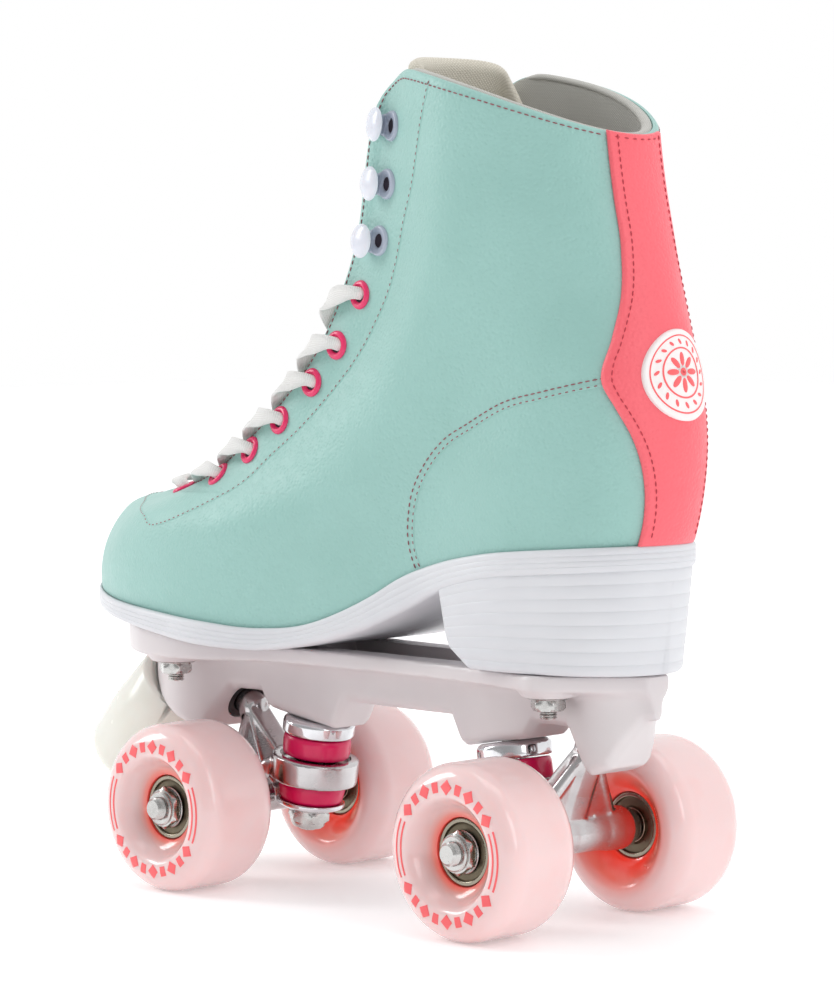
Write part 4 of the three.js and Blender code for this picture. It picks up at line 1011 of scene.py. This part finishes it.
ring_profile = rounded([(2.5, -4.5), (2.5, 0.5), (3.6, 1.15), (4.7, 0.7), (5.0, -0.2), (3.1, -0.5), (3.1, -4.5)],
                       0.5, 4)
rings, hook_bases, hook_caps, hole_shades = [], [], [], []
for _, side in SIDES:
    for t, distance in EYELETS + HOOKS:
        phi = side * from_edge(t, distance)
        origin, normal = skin(t, phi), outwards(t, phi)
        forward = skin(t, phi - side * 0.01) - origin
        shape, faces = lathe(ring_profile, 40)
        place_it = lambda p: stand(p, origin, normal, forward)
        if (t, distance) in EYELETS:
            rings.append((place_it(shape), faces))
        else:
            base, faces = lathe(rounded([(2.3, -1), (2.3, 0.5), (3.0, 1.0), (4.6, 1.1), (5.1, 0.4), (5.1, -0.4),
                                         (3, -1)], 0.35, 4), 48)
            hook_bases.append((place_it(base), faces))
            spine = np.array([(2.8, 0, 0.8), (4.2, 0, 1.1), (5.2, 0, 2.0), (5.4, 0, 3.2), (5.0, 0, 4.2)])
            spine = chain(spine)(np.linspace(0, 1, 20))
            strap, faces = ribbon(spine, np.tile((0, 1.0, 0), (20, 1)), np.linspace(4.0, 2.6, 20), 0.55, 14)
            hook_bases.append((place_it(strap), faces))
            cap = [(1e-3, 3.3), (3.2, 3.4), (5.6, 3.9), (6.0, 4.3), (5.8, 4.7), (5.0, 5.3), (3.6, 5.8),
                   (1.8, 6.1), (1e-3, 6.2)]
            shape, faces = lathe(cap, 48, wrap=False)
            hook_caps.append((place_it(shape * (0.95, 0.95, 0.95) + (4.7, 0, 0)), faces))
        # A dark disc fills each eyelet's opening: painted shade of the hole's inside.
        hole, faces = lathe([(1e-3, -0.5), (2.75, -0.5), (2.75, 0.12), (1e-3, 0.12)], 24, wrap=False)
        hole_shades.append((place_it(hole), faces))
finish_piece(piece("eyelet rings", *merged(rings)), "root", EYELET)
finish_piece(piece("lace hooks", *merged(hook_bases)), "root", HOOK_STEEL)
finish_piece(piece("lace hook caps", *merged(hook_caps)), "root", CAP)
finish_piece(piece("eyelet holes", *merged(hole_shades)), "root", HOLE_SHADE)


# ---- Insole, outsole and heel -----------------------------------------------------------------------
FOOT_ANGLES = -np.linspace(0, 2 * math.pi, 361)[:-1]
FOOT_ANGLES = np.where(FOOT_ANGLES < -math.pi, FOOT_ANGLES + 2 * math.pi, FOOT_ANGLES)


def foot_slab(profile, top, bottom):
    """A slab with the foot's outline. Its profile rows are (depth, height share): the rings go from the middle
    of its underside up its wall to the middle of its top."""
    rings = []
    for depth, share in profile:
        toe = ease((1.15 - np.abs(FOOT_ANGLES)) / 0.8)
        trim = 1 - 0.7 * toe if depth < 0 else 1.0
        outline = skin(0.0, FOOT_ANGLES, min(depth, 12.0) * trim)[..., :2]
        if depth > 12:
            inner = 1 - (depth - 12) / 30
            spine = np.stack([np.clip(outline[:, 0], -128, 92), 0 * outline[:, 1]], -1)
            outline = spine + (outline - spine) * max(inner, 1e-3)
        z = bottom(outline[:, 0]) * (1 - share) + top(outline[:, 0]) * share
        rings.append(np.column_stack([outline, z]))
    return np.array(rings), grid_faces(len(rings), len(FOOT_ANGLES), wrap_columns=True)


def grooves(low, high, count, depth, rest):
    """Profile rows of a wall with `count` narrow grooves between two height shares."""
    rows = []
    for share in np.linspace(low, high, count):
        rows += [(rest, share - 0.028), (rest + depth * 0.8, share - 0.012), (rest + depth, share),
                 (rest + depth * 0.8, share + 0.012), (rest, share + 0.028)]
    return rows


insole = finish_piece(piece("insole", *foot_slab(
    [(41.9, 0), (14, 0), (6.4, 0), (6.2, 0.2), (6.2, 0.8), (6.6, 0.97), (7.6, 1), (12, 1), (24, 1), (41.9, 1)],
    lambda x: FEATHER(x) + 3.8, lambda x: FEATHER(x) + 0.8)), "root", FOAM, ["insole"])
outsole_profile = ([(41.9, 0), (24, 0), (8, 0), (2.5, 0), (-0.6, 0.02), (-1.3, 0.09), (-1.75, 0.17)]
                   + grooves(0.34, 0.8, 3, 0.14, -1.9)
                   + [(-1.9, 0.92), (-1.8, 1.02), (-1.4, 1.09), (-0.7, 1.11), (0.0, 1.09), (0.5, 1.02),
                      (2.5, 1), (12, 0.99), (24, 0.99), (41.9, 0.99)])
finish_piece(piece("outsole", *foot_slab(outsole_profile, FEATHER, SOLE_BOTTOM), sharp=50), "root", SOLE,
             ["outsole"])

HEEL_BREAST = curve([(85, 57.5), (88, 52), (91, 47.4), (95, 45.6), (102, 44.2), (113, 42.3)])


def station_angle(x):
    """The outline's angle where the sole is at x."""
    angles = np.linspace(0, math.pi, 2000)
    return np.interp(x, skin(0.0, angles, -1.4)[:, 0], angles)


def heel_piece():
    """The heel: rings up its height that go round its wall and back across its curved breast, with grooves
    moulded round the wall."""
    rows = [(0, 7.0), (0, 2.5), (0.003, 0.9), (0.02, 0.25), (0.05, 0)]
    for share in np.linspace(0.11, 0.87, 7):
        rows += [(share - 0.016, 0), (share - 0.006, 0.16), (share, 0.24), (share + 0.006, 0.16),
                 (share + 0.016, 0)]
    rows += [(0.95, 0), (0.985, 0.2), (1, 0.9), (1, 3)]
    rings = []
    for v, inset in rows:
        height = 85.1 + v * 24
        start = float(station_angle(float(HEEL_BREAST(height))))
        phi = np.concatenate([[start] * 3, np.linspace(start, math.pi, 120)])
        rim = np.zeros(len(phi))
        rim[:3] = (2.2, 1.0, 0.35)
        shrink = 4 * (1 - v)
        p = skin(0.0, -phi, -1.1 + inset + rim)
        x = p[:, 0] - shrink * np.clip((p[:, 0] - 60) / 60, 0, 1)
        left = p[:, 1] + shrink * 0.35
        q = skin(0.0, phi, -1.1 + inset + rim)
        right = q[:, 1] - shrink * 0.35
        x[:3] += (-0.2, 0.05, 0.1)
        z = 85.1 + (SOLE_BOTTOM(x) + 1 - 85.1) * v
        z[:3] = z[3]
        side_a = np.column_stack([x, left, z])
        side_b = np.column_stack([x, right, z])[::-1][1:]
        u = np.linspace(1, -1, 14)[1:-1, None]
        first = side_b[-1] * (1 + u) / 2 + side_a[0] * (1 - u) / 2
        first[:, 0] += 2.0 * (1 - u[:, 0] ** 2)
        rings.append(np.concatenate([side_a, side_b, first]))
    rings = np.array(rings)
    for end in (0, -1):
        middle_x = np.clip(rings[end][:, :1], 62, 100)
        flat = np.column_stack([middle_x, 0 * middle_x, rings[end][:, 2:]])
        close = flat + (rings[end] - flat) * 1e-3
        rings = np.concatenate([close[None], rings]) if end == 0 else np.concatenate([rings, close[None]])
    return piece("heel block", rings, grid_faces(len(rings), rings.shape[1], wrap_columns=True), sharp=50)


finish_piece(heel_piece(), "root", SOLE, ["heel_block"])

# ---- Plate ------------------------------------------------------------------------------------------
FLANGE = curve([(-130, 12), (-126, 18.5), (-118, 26), (-109, 32.5), (-100, 37.5), (-88, 40.5), (-75, 40.5),
                (-66, 37.5), (-56, 31), (-45, 26.5), (-30, 24.5), (0, 23), (30, 23), (45, 24), (60, 26),
                (75, 29), (84, 30), (90, 25.5), (98, 17.5), (106, 9.5), (111, 5)])
KEEL = curve([(-130, 2), (-124, 8), (-112, 16), (-100, 18.5), (-92, 16.5), (-83, 12), (-73, 10.5), (-62, 11.5),
              (-50, 11.5), (-30, 9.5), (0, 9), (30, 9.5), (50, 11.5), (62, 11.5), (73, 10.5), (83, 12),
              (92, 13), (100, 10), (108, 3.5), (111, 2)])
KEEL_BOTTOM = np.array([(-130, 75), (-124, 66.5), (-114, 59.5), (-104, 54.5), (-97, 52.3), (-91, 51.5),
                        (-81.5, 66.3), (-66, 66.3), (-62, 60.9), (-31.5, 55.7), (-26, 65.5), (26, 65.5),
                        (31.5, 55.7), (62, 60.9), (66, 66.3), (81.5, 66.3), (91, 51.5), (98, 54), (105, 66),
                        (111, 76)], float)
KINGPIN = {"x": 50, "z": 39.5, "lean": math.radians(9.75)}
PIVOT = {"x": 88, "z": 63.5}
STOP = {"x": -146, "z": 34, "lean": math.radians(42.4)}
BOLT_SPOTS = (("front", -89.6, 29.2), ("rear", 81, 19.5))


def on_kingpin(points, end):
    """Points made about Z, put on the kingpin of one end."""
    origin = (end * KINGPIN["x"], 0, KINGPIN["z"])
    return aim(points, origin, (-end * math.sin(KINGPIN["lean"]), 0, math.cos(KINGPIN["lean"])))


def on_pivot(points, end):
    """Points made about Z, put on the pivot of one end, pointing at its kingpin."""
    return aim(points, (end * PIVOT["x"], 0, PIVOT["z"]),
               (end * (KINGPIN["x"] - PIVOT["x"]), 0, KINGPIN["z"] - PIVOT["z"]))


def on_stop(points):
    """Points made about Z, put on the toe stop's stem."""
    return aim(points, (STOP["x"], 0, STOP["z"]), (math.sin(STOP["lean"]), 0, math.cos(STOP["lean"])))


def turned(profile, segments=48):
    """A closed turned shell from the axis back to the axis."""
    return lathe(profile, segments, wrap=False)


def plate_shell(grow=0.0):
    """The plate's outside: sections across it from its flat top down its flange to the keel's floor."""
    x = np.concatenate([[-130], np.linspace(-129, 110, 240), [111]])
    w, k = FLANGE(x) + grow, KEEL(x) + grow
    b = np.minimum(np.interp(x, *KEEL_BOTTOM.T), 70) - grow
    top = np.maximum(84.8, np.where(x < -46, SOLE_BOTTOM(x) - 0.3, 0))
    shoulder = np.minimum(k + 2.2, w - 0.5)
    low = np.minimum(b + 3, 72 - grow)
    inner = np.maximum(k - 3, 1 + grow)
    half = np.array([(w * 0.5, top), (w - 1, top), (w - 0.3, top - 0.3), (w, top - 1), (w, 0 * x + 80.2 - grow),
                     (w - 0.25, 0 * x + 79.7 - grow), (w - 0.9, 0 * x + 79.5 - grow),
                     (shoulder, 0 * x + 78.3 - grow), (k + 0.6, 0 * x + 77.3 - grow), (k, 0 * x + 73.5 - grow),
                     (k, low), (k - 0.8, (low + b) / 2), (inner, b), (inner * 0.5, b)])
    left = np.stack([np.broadcast_to(x, half[:, 0].shape), -half[:, 0], half[:, 1]], -1)
    right = np.stack([np.broadcast_to(x, half[:, 0].shape), half[:, 0], half[:, 1]], -1)[::-1]
    ring = np.concatenate([left, right], 0).transpose(1, 0, 2)
    ends = [ring[:1] * (1, 1e-3, 1), ring, ring[-1:] * (1, 1e-3, 1)]
    ring = np.concatenate(ends, 0)
    return ring, grid_faces(len(ring), ring.shape[1], wrap_columns=True)


def plate_piece():
    """The plate: one moulding with kingpin pockets, pivot seats, a trough in its top between the trucks and
    pads round its bolts."""
    pads = [turned([(1e-3, 77.2), (8.6, 77.2), (9.2, 77.8), (9.2, 81), (1e-3, 81)]) for _ in range(4)]
    spots = [(x, side * y) for _, x, y in BOLT_SPOTS for _, side in SIDES]
    pads = [(p + (x, y, 0), f) for (p, f), (x, y) in zip(pads, spots)]
    body = piece("plate", *merged([plate_shell(), *pads]), merge=True)
    cast(body, 0.85, 2)
    cutters = [slab_xz([(-42, 90), (-42, 78.5), (42, 78.5), (42, 90)], -13, 13)]
    for _, end in ENDS:
        pocket = turned([(1e-3, 0), (13.9, 0), (13.9, 19), (13.2, 19.3), (1e-3, 19.3)])
        cutters.append((on_kingpin(pocket[0], end), pocket[1]))
        seat = turned([(1e-3, -7.3), (8.3, -7.3), (8.3, 4), (14, 14), (1e-3, 14)])
        cutters.append((on_pivot(seat[0], end), seat[1]))
    carve(body, cutters)
    body.data.shade_smooth()
    body.data.set_sharp_from_angle(angle=math.radians(35))
    return body


finish_piece(plate_piece(), "root", NYLON, ["plate"])


def stop_piece():
    """The stop: a turned urethane plug with a rounded working face, trimmed clear of the plate's nose."""
    u = np.linspace(0, math.pi / 2, 9)
    profile = [(1e-3, 7.7), (1e-3, 0.4), (5, 0.1), (13.5, 0)]
    profile += [(14 + 5 * math.sin(a), 5 - 5 * math.cos(a)) for a in u]
    profile += [(19, 12), (19, 23), (18.9, 24.3), (18.2, 30), (17.2, 41), (16.6, 41.8), (15.8, 42), (4.6, 42),
                (4.3, 41.6), (4.3, 7.7)]
    points, faces = lathe(profile, 96, wrap=True)
    thing = piece("toe stop", on_stop(points), faces)
    carve(thing, [plate_shell(0.6)])
    thing.data.shade_smooth()
    thing.data.set_sharp_from_angle(angle=math.radians(40))
    return thing


finish_piece(stop_piece(), "root", STOP_RUBBER, ["toe_stop"])
points, faces = turned([(1e-3, 8), (3.6, 8), *thread(4, 8.5, 49.5, 1.25, 0.4), (1e-3, 50)])
finish_piece(piece("toe stop bolt", on_stop(points), faces), "root", ZINC, ["toe_stop_bolt"])

for name, x, y in BOLT_SPOTS:
    for label, side in SIDES:
        at = (x, side * y, 0)
        top = float(max(FEATHER(x - 5.2), FEATHER(x + 5.2))) + 0.4
        shape = turned([(1e-3, 70), (2.4, 70), *thread(2.9, 70.5, 84, 0.9, 0.35), (2.9, top), (5.1, top),
                        (5.2, top + 0.4), (4.6, top + 1.5), (2.6, top + 2), (1e-3, top + 2)], 32)
        finish_piece(piece(f"{name} {label} mount bolt", shape[0] + at, shape[1]), "root", ZINC,
                     [f"{name}_{label}_mount_bolt"])
        nut = hex_nut(10, 3.0, 72.7, 76.6)
        washer = lathe([(3.3, 76.6), (6.6, 76.6), (6.8, 76.8), (6.6, 77.2), (3.3, 77.2)], 48)
        points, faces = merged([nut, washer])
        finish_piece(piece(f"{name} {label} mount nut", points + at, faces), "root", ZINC,
                     [f"{name}_{label}_mount_nut"])


# ---- Trucks -----------------------------------------------------------------------------------------
def hanger_piece(name, end):
    """A cast hanger: an axle tube between two bulbs, a triangular back plate with raised edge ribs, a web that
    climbs to the pivot pin, and a ring round the cushions."""
    across = lambda p: aim(p, (end * AXLE_X, 0, AXLE_Z), (0, 1, 0))
    tube = turned([(1e-3, -30.7), (5.2, -30.7), (5.6, -30.3), (6.6, -28), (7.4, -25.5), (7.4, -20), (6.6, -14),
                   (6.2, 0), (6.6, 14), (7.4, 20), (7.4, 25.5), (6.6, 28), (5.6, 30.3), (5.2, 30.7),
                   (1e-3, 30.7)])
    ring = turned([(1e-3, -4), (15.1, -4), (15.5, -3.6), (15.5, 4.6), (15.1, 5), (1e-3, 5)], 72)
    pin = turned([(1e-3, -5.9), (1.8, -5.7), (3.5, -4.6), (4.7, -2.6), (5, -1), (5, 10), (1e-3, 14)])
    shells = [(across(tube[0]), tube[1]), (on_kingpin(ring[0], end), ring[1]), (on_pivot(pin[0], end), pin[1])]
    shells.append(slab_xz([(end * x, z) for x, z in ((85, 58), (82, 63), (64, 45.2), (56, 42.6), (57, 35.4),
                                                     (64.5, 27), (74, 31), (78, 42))], -4.6, 4.6))
    for sign in (-1, 1):
        low, high = (end * 69.8, sign * 23.5, 27.5), (end * 80.9, sign * 2.6, 56.6)
        shells.append(bar(low, high, 2.5, 2.1))
        shells.append(bar((end * 70.5, sign * 17, 31), (end * 60.5, sign * 11.5, 41), 3.4, 3.0))
    plate_points = []
    for x_shift in (-2.4, 1.9):
        plate_points.append([(end * (69.3 + x_shift), -24, 26), (end * (69.3 + x_shift), 24, 26),
                             (end * (81.3 + x_shift), 4, 57.5), (end * (81.3 + x_shift), -4, 57.5)])
    shells.append(closed_plate(plate_points))
    body = piece(name, *merged(shells))
    cast(body, 0.55, 9)
    bore = turned([(1e-3, -30), (7.6, -30), (7.6, 30), (1e-3, 30)])
    above = turned([(1e-3, 5), (15.1, 5), (15.1, 20), (1e-3, 20)])
    below = turned([(1e-3, -26), (13, -26), (13, -4), (1e-3, -4)])
    well = turned([(1e-3, 3.4), (12.6, 3.4), (12.6, 9), (1e-3, 9)])
    hole = turned([(1e-3, -40), (4.15, -40), (4.15, 40), (1e-3, 40)])
    carve(body, [(on_kingpin(p, end), f) for p, f in (bore, above, below, well)] + [(across(hole[0]), hole[1])])
    body.data.shade_smooth()
    body.data.set_sharp_from_angle(angle=math.radians(42))
    return body


def closed_plate(layers):
    """A closed slab between two outlines with the same number of corners."""
    layers = np.array(layers, float)
    centre = layers.mean(1, keepdims=True)
    rings = np.concatenate([centre[:1] + (layers[:1] - centre[:1]) * 1e-4, layers,
                            centre[1:] + (layers[1:] - centre[1:]) * 1e-4])
    return rings, grid_faces(4, layers.shape[1], wrap_columns=True)


def turned_piece(name, profile, put, body, material, nodes, segments=72, wrap=False, sharp=40):
    """A lathed profile, put in its place and finished."""
    points, faces = lathe(profile, segments, wrap=wrap)
    return finish_piece(piece(name, put(points), faces, sharp=sharp), body, material, nodes)


def cushion(name, profile, end, low, high):
    """A cushion turned about its kingpin."""
    points, faces = lathe(profile, 80, wrap=True)
    thing = piece(name, on_kingpin(points, end), faces)
    thing.data.materials.append(CUSHION)
    spots = [place(on_kingpin(np.array([[0, 0, h]], float), end))[0] for h in (low, high)]
    tuple(spots[0])
    tuple(spots[1])
    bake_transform(thing)
    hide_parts(name.replace(" ", "_"))


for name, end in ENDS:
    truck = f"{name}_truck"
    king = lambda p, end=end: on_kingpin(p, end)
    across = lambda p, end=end: aim(p, (end * AXLE_X, 0, AXLE_Z), (0, 1, 0))
    finish_piece(hanger_piece(f"{name} hanger", end), truck, CAST, [f"{name}_hanger"])
    tip = AXLE_TIP
    rod = [(1e-3, -tip), (3.0, -tip), (3.5, -tip + 0.6), *thread(3.85, -tip + 0.9, -46, 0.9, 0.4), (3.85, -45),
           (3.85, 45), *thread(3.85, 46, tip - 0.9, 0.9, 0.4), (3.5, tip - 0.6), (3.0, tip), (1e-3, tip)]
    turned_piece(f"{name} axle", rod, across, truck, ZINC, [f"{name}_axle"], 36)
    cup = [(1e-3, -7), (8, -7), (8, 3.6), (5.3, 3.6), (5.3, -1.6), (3.2, -5.4), (1e-3, -6.2)]
    turned_piece(f"{name} pivot cup", rounded(cup, 0.5, 4, closed=False),
                 lambda p, end=end: on_pivot(p, end), "root", BLACK, [f"{name}_pivot_cup"])
    pin = [(1e-3, -21.5), (3.1, -21.5), (3.5, -21.1), *thread(3.9, -20.8, -13, 0.9, 0.35), (3.9, -12),
           (3.9, 29.6), (3.5, 30), (1e-3, 30)]
    turned_piece(f"{name} kingpin", pin, king, "root", ZINC, [f"{name}_kingpin"], 40)
    turned_piece(f"{name} retainer upper", rounded([(4.2, 13.4), (10.5, 13.4), (11.9, 13.0), (12.7, 13.5),
                                                    (12.7, 17.6), (11.2, 19), (4.2, 19)], 0.9, 6), king, "root",
                 CHROME, [f"{name}_retainer_upper"], 96, True)
    turned_piece(f"{name} retainer lower", rounded([(4.2, -14), (8.6, -14), (12, -12.4), (12.2, -11.0),
                                                    (11.5, -10.7), (10.9, -11.3), (4.2, -11.3)], 0.5, 5), king,
                 "root", CHROME, [f"{name}_retainer_lower"], 96, True)
    cushion(f"{name} cushion upper", rounded([(4.2, 5.3), (11.5, 5.3), (11.95, 7), (11.95, 11), (11.5, 12.7),
                                              (4.2, 12.7)], 0.7, 5), end, 12.7, 5.3)
    cushion(f"{name} cushion lower", rounded([(4.2, -11), (10.6, -11), (11.2, -9.5), (11.75, -6), (11.5, -4.3),
                                              (4.2, -4.3)], 0.7, 5), end, -11, -4.3)
    points, faces = hex_nut(13, 3.5, -18.6, -14.3)
    collar = lathe([(3.95, -18.6), (6.0, -18.6), (6.0, -19.6), (5.4, -20.5), (3.95, -20.6)], 60)
    points, faces = merged([(points, faces), collar])
    finish_piece(piece(f"{name} kingpin nut", king(points), faces), "root", ZINC,
                 [f"{name}_kingpin_nut"])


# ---- Wheels -----------------------------------------------------------------------------------------
def tyre_profile():
    """(radius, height) round the tyre's section; height runs outwards. The outer face has a printed flat and a
    bowl down to the hub; the inner face is a long smooth cone."""
    u = np.linspace(0, math.pi / 2, 18)
    outer = [(21.5 + 7.5 * math.sin(a), 16.5 - 8 * (1 - math.cos(a))) for a in u]
    wall_rows = [(29, h) for h in np.linspace(7, -7, 9)]
    inner = [(21.5 + 7.5 * math.sin(a), -16.5 + 8 * (1 - math.cos(a))) for a in u[::-1]]
    cone = [(20.4, -16.4), (19.2, -15.8), (17.6, -14.5), (15.8, -12.8), (14.1, -11.1), (12.6, -9.8),
            (11.8, -9.35), (11.4, -9.2), (15.3, -9.05)]
    middle_rows = [(15.3, h) for h in np.linspace(-7, 7, 5)]
    bowl = [(15.3, 9.05), (11.4, 9.2), (12.2, 9.4), (13.4, 9.9), (14.8, 10.9), (16.0, 12.4), (17.0, 14.2),
            (17.9, 15.6), (18.7, 16.3), (19.6, 16.5)]
    return outer + wall_rows + inner + cone + middle_rows + bowl


def face_height(r):
    """How high the outer face lies at a radius: flat to 21.5 and then round into the tread."""
    return 16.5 - 8 * (1 - np.sqrt(1 - (np.clip(r - 21.5, 0, 7.5) / 7.5) ** 2))


def face_ring(r0, r1, a0, a1, steps=26):
    """A raised arc band on a wheel's face, between two radii and two angles in degrees."""
    angle = np.radians(np.linspace(a0, a1, steps))
    r = np.concatenate([np.linspace(r0, r1, 4), np.linspace(r1, r0, 4)])
    lift = np.array([-0.15, -0.15, -0.15, -0.15, 0.1, 0.15, 0.15, 0.1])
    lifted = face_height(r) + lift
    rings = np.array([np.column_stack([r * math.cos(a), r * math.sin(a), lifted]) for a in angle])
    rings = np.concatenate([rings[:1].mean(1, keepdims=True).repeat(8, 1), rings,
                            rings[-1:].mean(1, keepdims=True).repeat(8, 1)])
    return rings, grid_faces(len(rings), 8, wrap_columns=True)


def wheel_print():
    """The printed motif: twin arcs at both sides of the face, and between them rows of diamonds and bars."""
    shells = []
    for side in (0, 180):
        for r in (20.6, 22.6):
            shells.append(face_ring(r - 0.34, r + 0.34, side - 25, side + 25, 30))
        for k, step in enumerate(np.linspace(-54, 54, 9)):
            a = math.radians(side + 90 + step)
            if k % 2:
                shells.append(face_ring(19.9, 23.3, side + 90 + step - 3.4, side + 90 + step + 3.4, 8))
                continue
            turn = np.linspace(0, 2 * math.pi, 16, endpoint=False)
            size = 2.5 / (np.abs(np.cos(turn)) + np.abs(np.sin(turn)))
            spin = np.array([[math.cos(a), math.sin(a)], [-math.sin(a), math.cos(a)]])
            layers = []
            for share, lift in ((1e-3, -0.15), (1, -0.15), (1, 0.1), (0.95, 0.15), (0.6, 0.15), (0.3, 0.15),
                                (1e-3, 0.15)):
                reach = size * share
                flat = np.column_stack([21.6 + reach * np.cos(turn), reach * np.sin(turn)]) @ spin
                layers.append(np.column_stack([flat, face_height(np.linalg.norm(flat, axis=1)) + lift]))
            shells.append((np.array(layers), grid_faces(7, 16, wrap_columns=True)))
    return merged(shells)


PRINT_SHELL = wheel_print()
TYRE_SECTION = tyre_profile()


def wheel(end_name, end, label, side):
    """One wheel: tyre, hub, two bearings with their shields, printed motif, washer and nut."""
    name, body = f"{end_name} {label}", f"{end_name}_{label}_wheel"
    put = lambda p: aim(p, (end * AXLE_X, side * WHEEL_Y, AXLE_Z), (0, side, 0))
    node = f"{end_name}_{label}"
    points, faces = lathe(TYRE_SECTION, 128, wrap=True)
    r, h = np.array(TYRE_SECTION).T
    # glow: how much coral shows towards the hub; the urethane also turns it into a painted glow (emission).
    glow = np.where(h < 0, np.clip((25 - r) / 12, 0, 1) ** 1.35, np.clip((16.5 - r) / 5.5, 0, 1) ** 1.6 * 0.85)
    glow = np.repeat(glow[:, None], 128, 1).ravel()
    finish_piece(piece(f"{name} tyre", put(points), faces, attributes={"glow": glow}), body, URETHANE,
                 [f"{node}_tyre"])
    hub = rounded([(15, -9), (15, 9), (11.25, 9), (11.25, 1.7), (8.2, 1.7), (8.2, -1.7), (11.25, -1.7),
                   (11.25, -9)], 0.5, 4)
    turned_piece(f"{name} hub", hub, put, body, HUB, [f"{node}_hub"], 72, True)
    for spot, sign in (("outer", 1), ("inner", -1)):
        flip = lambda p, sign=sign: put(np.asarray(p).reshape(-1, 3) * (1, sign, sign))
        race = [rounded([(9.5, 2), (11, 2), (11, 8.8), (9.5, 8.8)], 0.4, 4),
                rounded([(4.15, 2), (5.9, 2), (5.9, 8.8), (4.15, 8.8)], 0.3, 4)]
        shells = []
        for profile in race:
            shape, f = lathe(profile, 72)
            shells.append((flip(shape), f))
        finish_piece(piece(f"{name} bearing {spot}", *merged(shells)), body, STEEL,
                     [f"{node}_bearing_{spot}"])
        ring = [(5.85, 3), (9.6, 3), (9.6, 8.0), (9.0, 8.35), (6.6, 8.35), (5.85, 8.0)]
        shape, f = lathe(rounded(ring, 0.3, 4), 72)
        finish_piece(piece(f"{name} bearing shield {spot}", flip(shape), f), body, SHIELD)
    finish_piece(piece(f"{name} tyre print", put(PRINT_SHELL[0]), PRINT_SHELL[1]), body, INK)
    washer = lathe([(4.2, 8.85), (6.9, 8.85), (7.1, 9.05), (6.9, 9.3), (4.2, 9.3)], 48)
    nut = hex_nut(13, 3.9, 9.3, 12.4)
    collar = lathe([(4.0, 12.4), (5.9, 12.4), (5.9, 13.2), (5.4, 13.7), (4.0, 13.7)], 60)
    points, faces = merged([washer, nut, collar])
    finish_piece(piece(f"{name} axle nut", put(points), faces), f"{end_name}_truck", ZINC,
                 [f"{node}_axle_nut"])


for name, end in ENDS:
    for label, side in SIDES:
        wheel(name, end, label, side)


# ---- Floor and light --------------------------------------------------------------------------------
def add_floor():
    """A wide white sweep under and behind the skate."""
    points, faces = [(-4000, -4000, 0), (4000, -4000, 0), (4000, 4000, 0), (-4000, 4000, 0)], [(0, 1, 2, 3)]
    floor = piece("floor", np.array(points, float), np.array(faces), merge=False)
    paper = Finish("white paper", (0.96, 0.96, 0.965), 0.7)
    paper.link(paper.ramp(paper.noise(3.0, 2.0), 0.3, 0.7, 0.55, 0.65), "Roughness")
    paper.bump(paper.noise(900.0, 2.0), 0.02, 0.2)
    paper.set("Emission Color", (1, 1, 1, 1))
    paper.set("Emission Strength", 0.2)
    floor.data.materials.append(paper.material)


def add_light(name, spot, target, size, power):
    """A rectangular white lamp that faces its target."""
    data = bpy.data.lights.new(name, "AREA")
    data.shape = "RECTANGLE"
    data.size, data.size_y = size
    data.energy = power
    lamp = bpy.data.objects.new(name, data)
    bpy.context.scene.collection.objects.link(lamp)
    lamp.location = spot
    lamp.rotation_euler = (Vector(target) - Vector(spot)).to_track_quat("-Z", "Y").to_euler()
    return lamp


def add_world():
    """A white studio all round, dimmer on its -Y side, so that surfaces facing that way keep their shape."""
    world = bpy.data.worlds.new("white studio")
    world.use_nodes = True
    tree = world.node_tree
    ahead = tree.nodes.new("ShaderNodeTexCoord").outputs["Generated"]
    axes = tree.nodes.new("ShaderNodeSeparateXYZ")
    tree.links.new(ahead, axes.inputs[0])
    shade = tree.nodes.new("ShaderNodeMapRange")
    shade.interpolation_type = "SMOOTHSTEP"
    for key, value in (("From Min", -0.9), ("From Max", 0.1), ("To Min", 0.42), ("To Max", 1.0)):
        shade.inputs[key].default_value = value
    tree.links.new(axes.outputs["Y"], shade.inputs["Value"])
    tree.nodes["Background"].inputs["Color"].default_value = (1, 1, 1, 1)
    tree.links.new(shade.outputs["Result"], tree.nodes["Background"].inputs["Strength"])
    bpy.context.scene.world = world


add_floor()
add_light("key softbox", (-1.7, -1.0, 1.1), (0, 0, 0.12), (0.6, 1.3), 16)
add_light("right softbox", (1.6, -0.5, 0.9), (0, 0, 0.12), (0.4, 1.3), 3.5)
add_light("top softbox", (0.1, 0.1, 1.9), (0, 0, 0.1), (1.2, 1.2), 5)
add_world()
bpy.context.scene.view_settings.view_transform = "Standard"
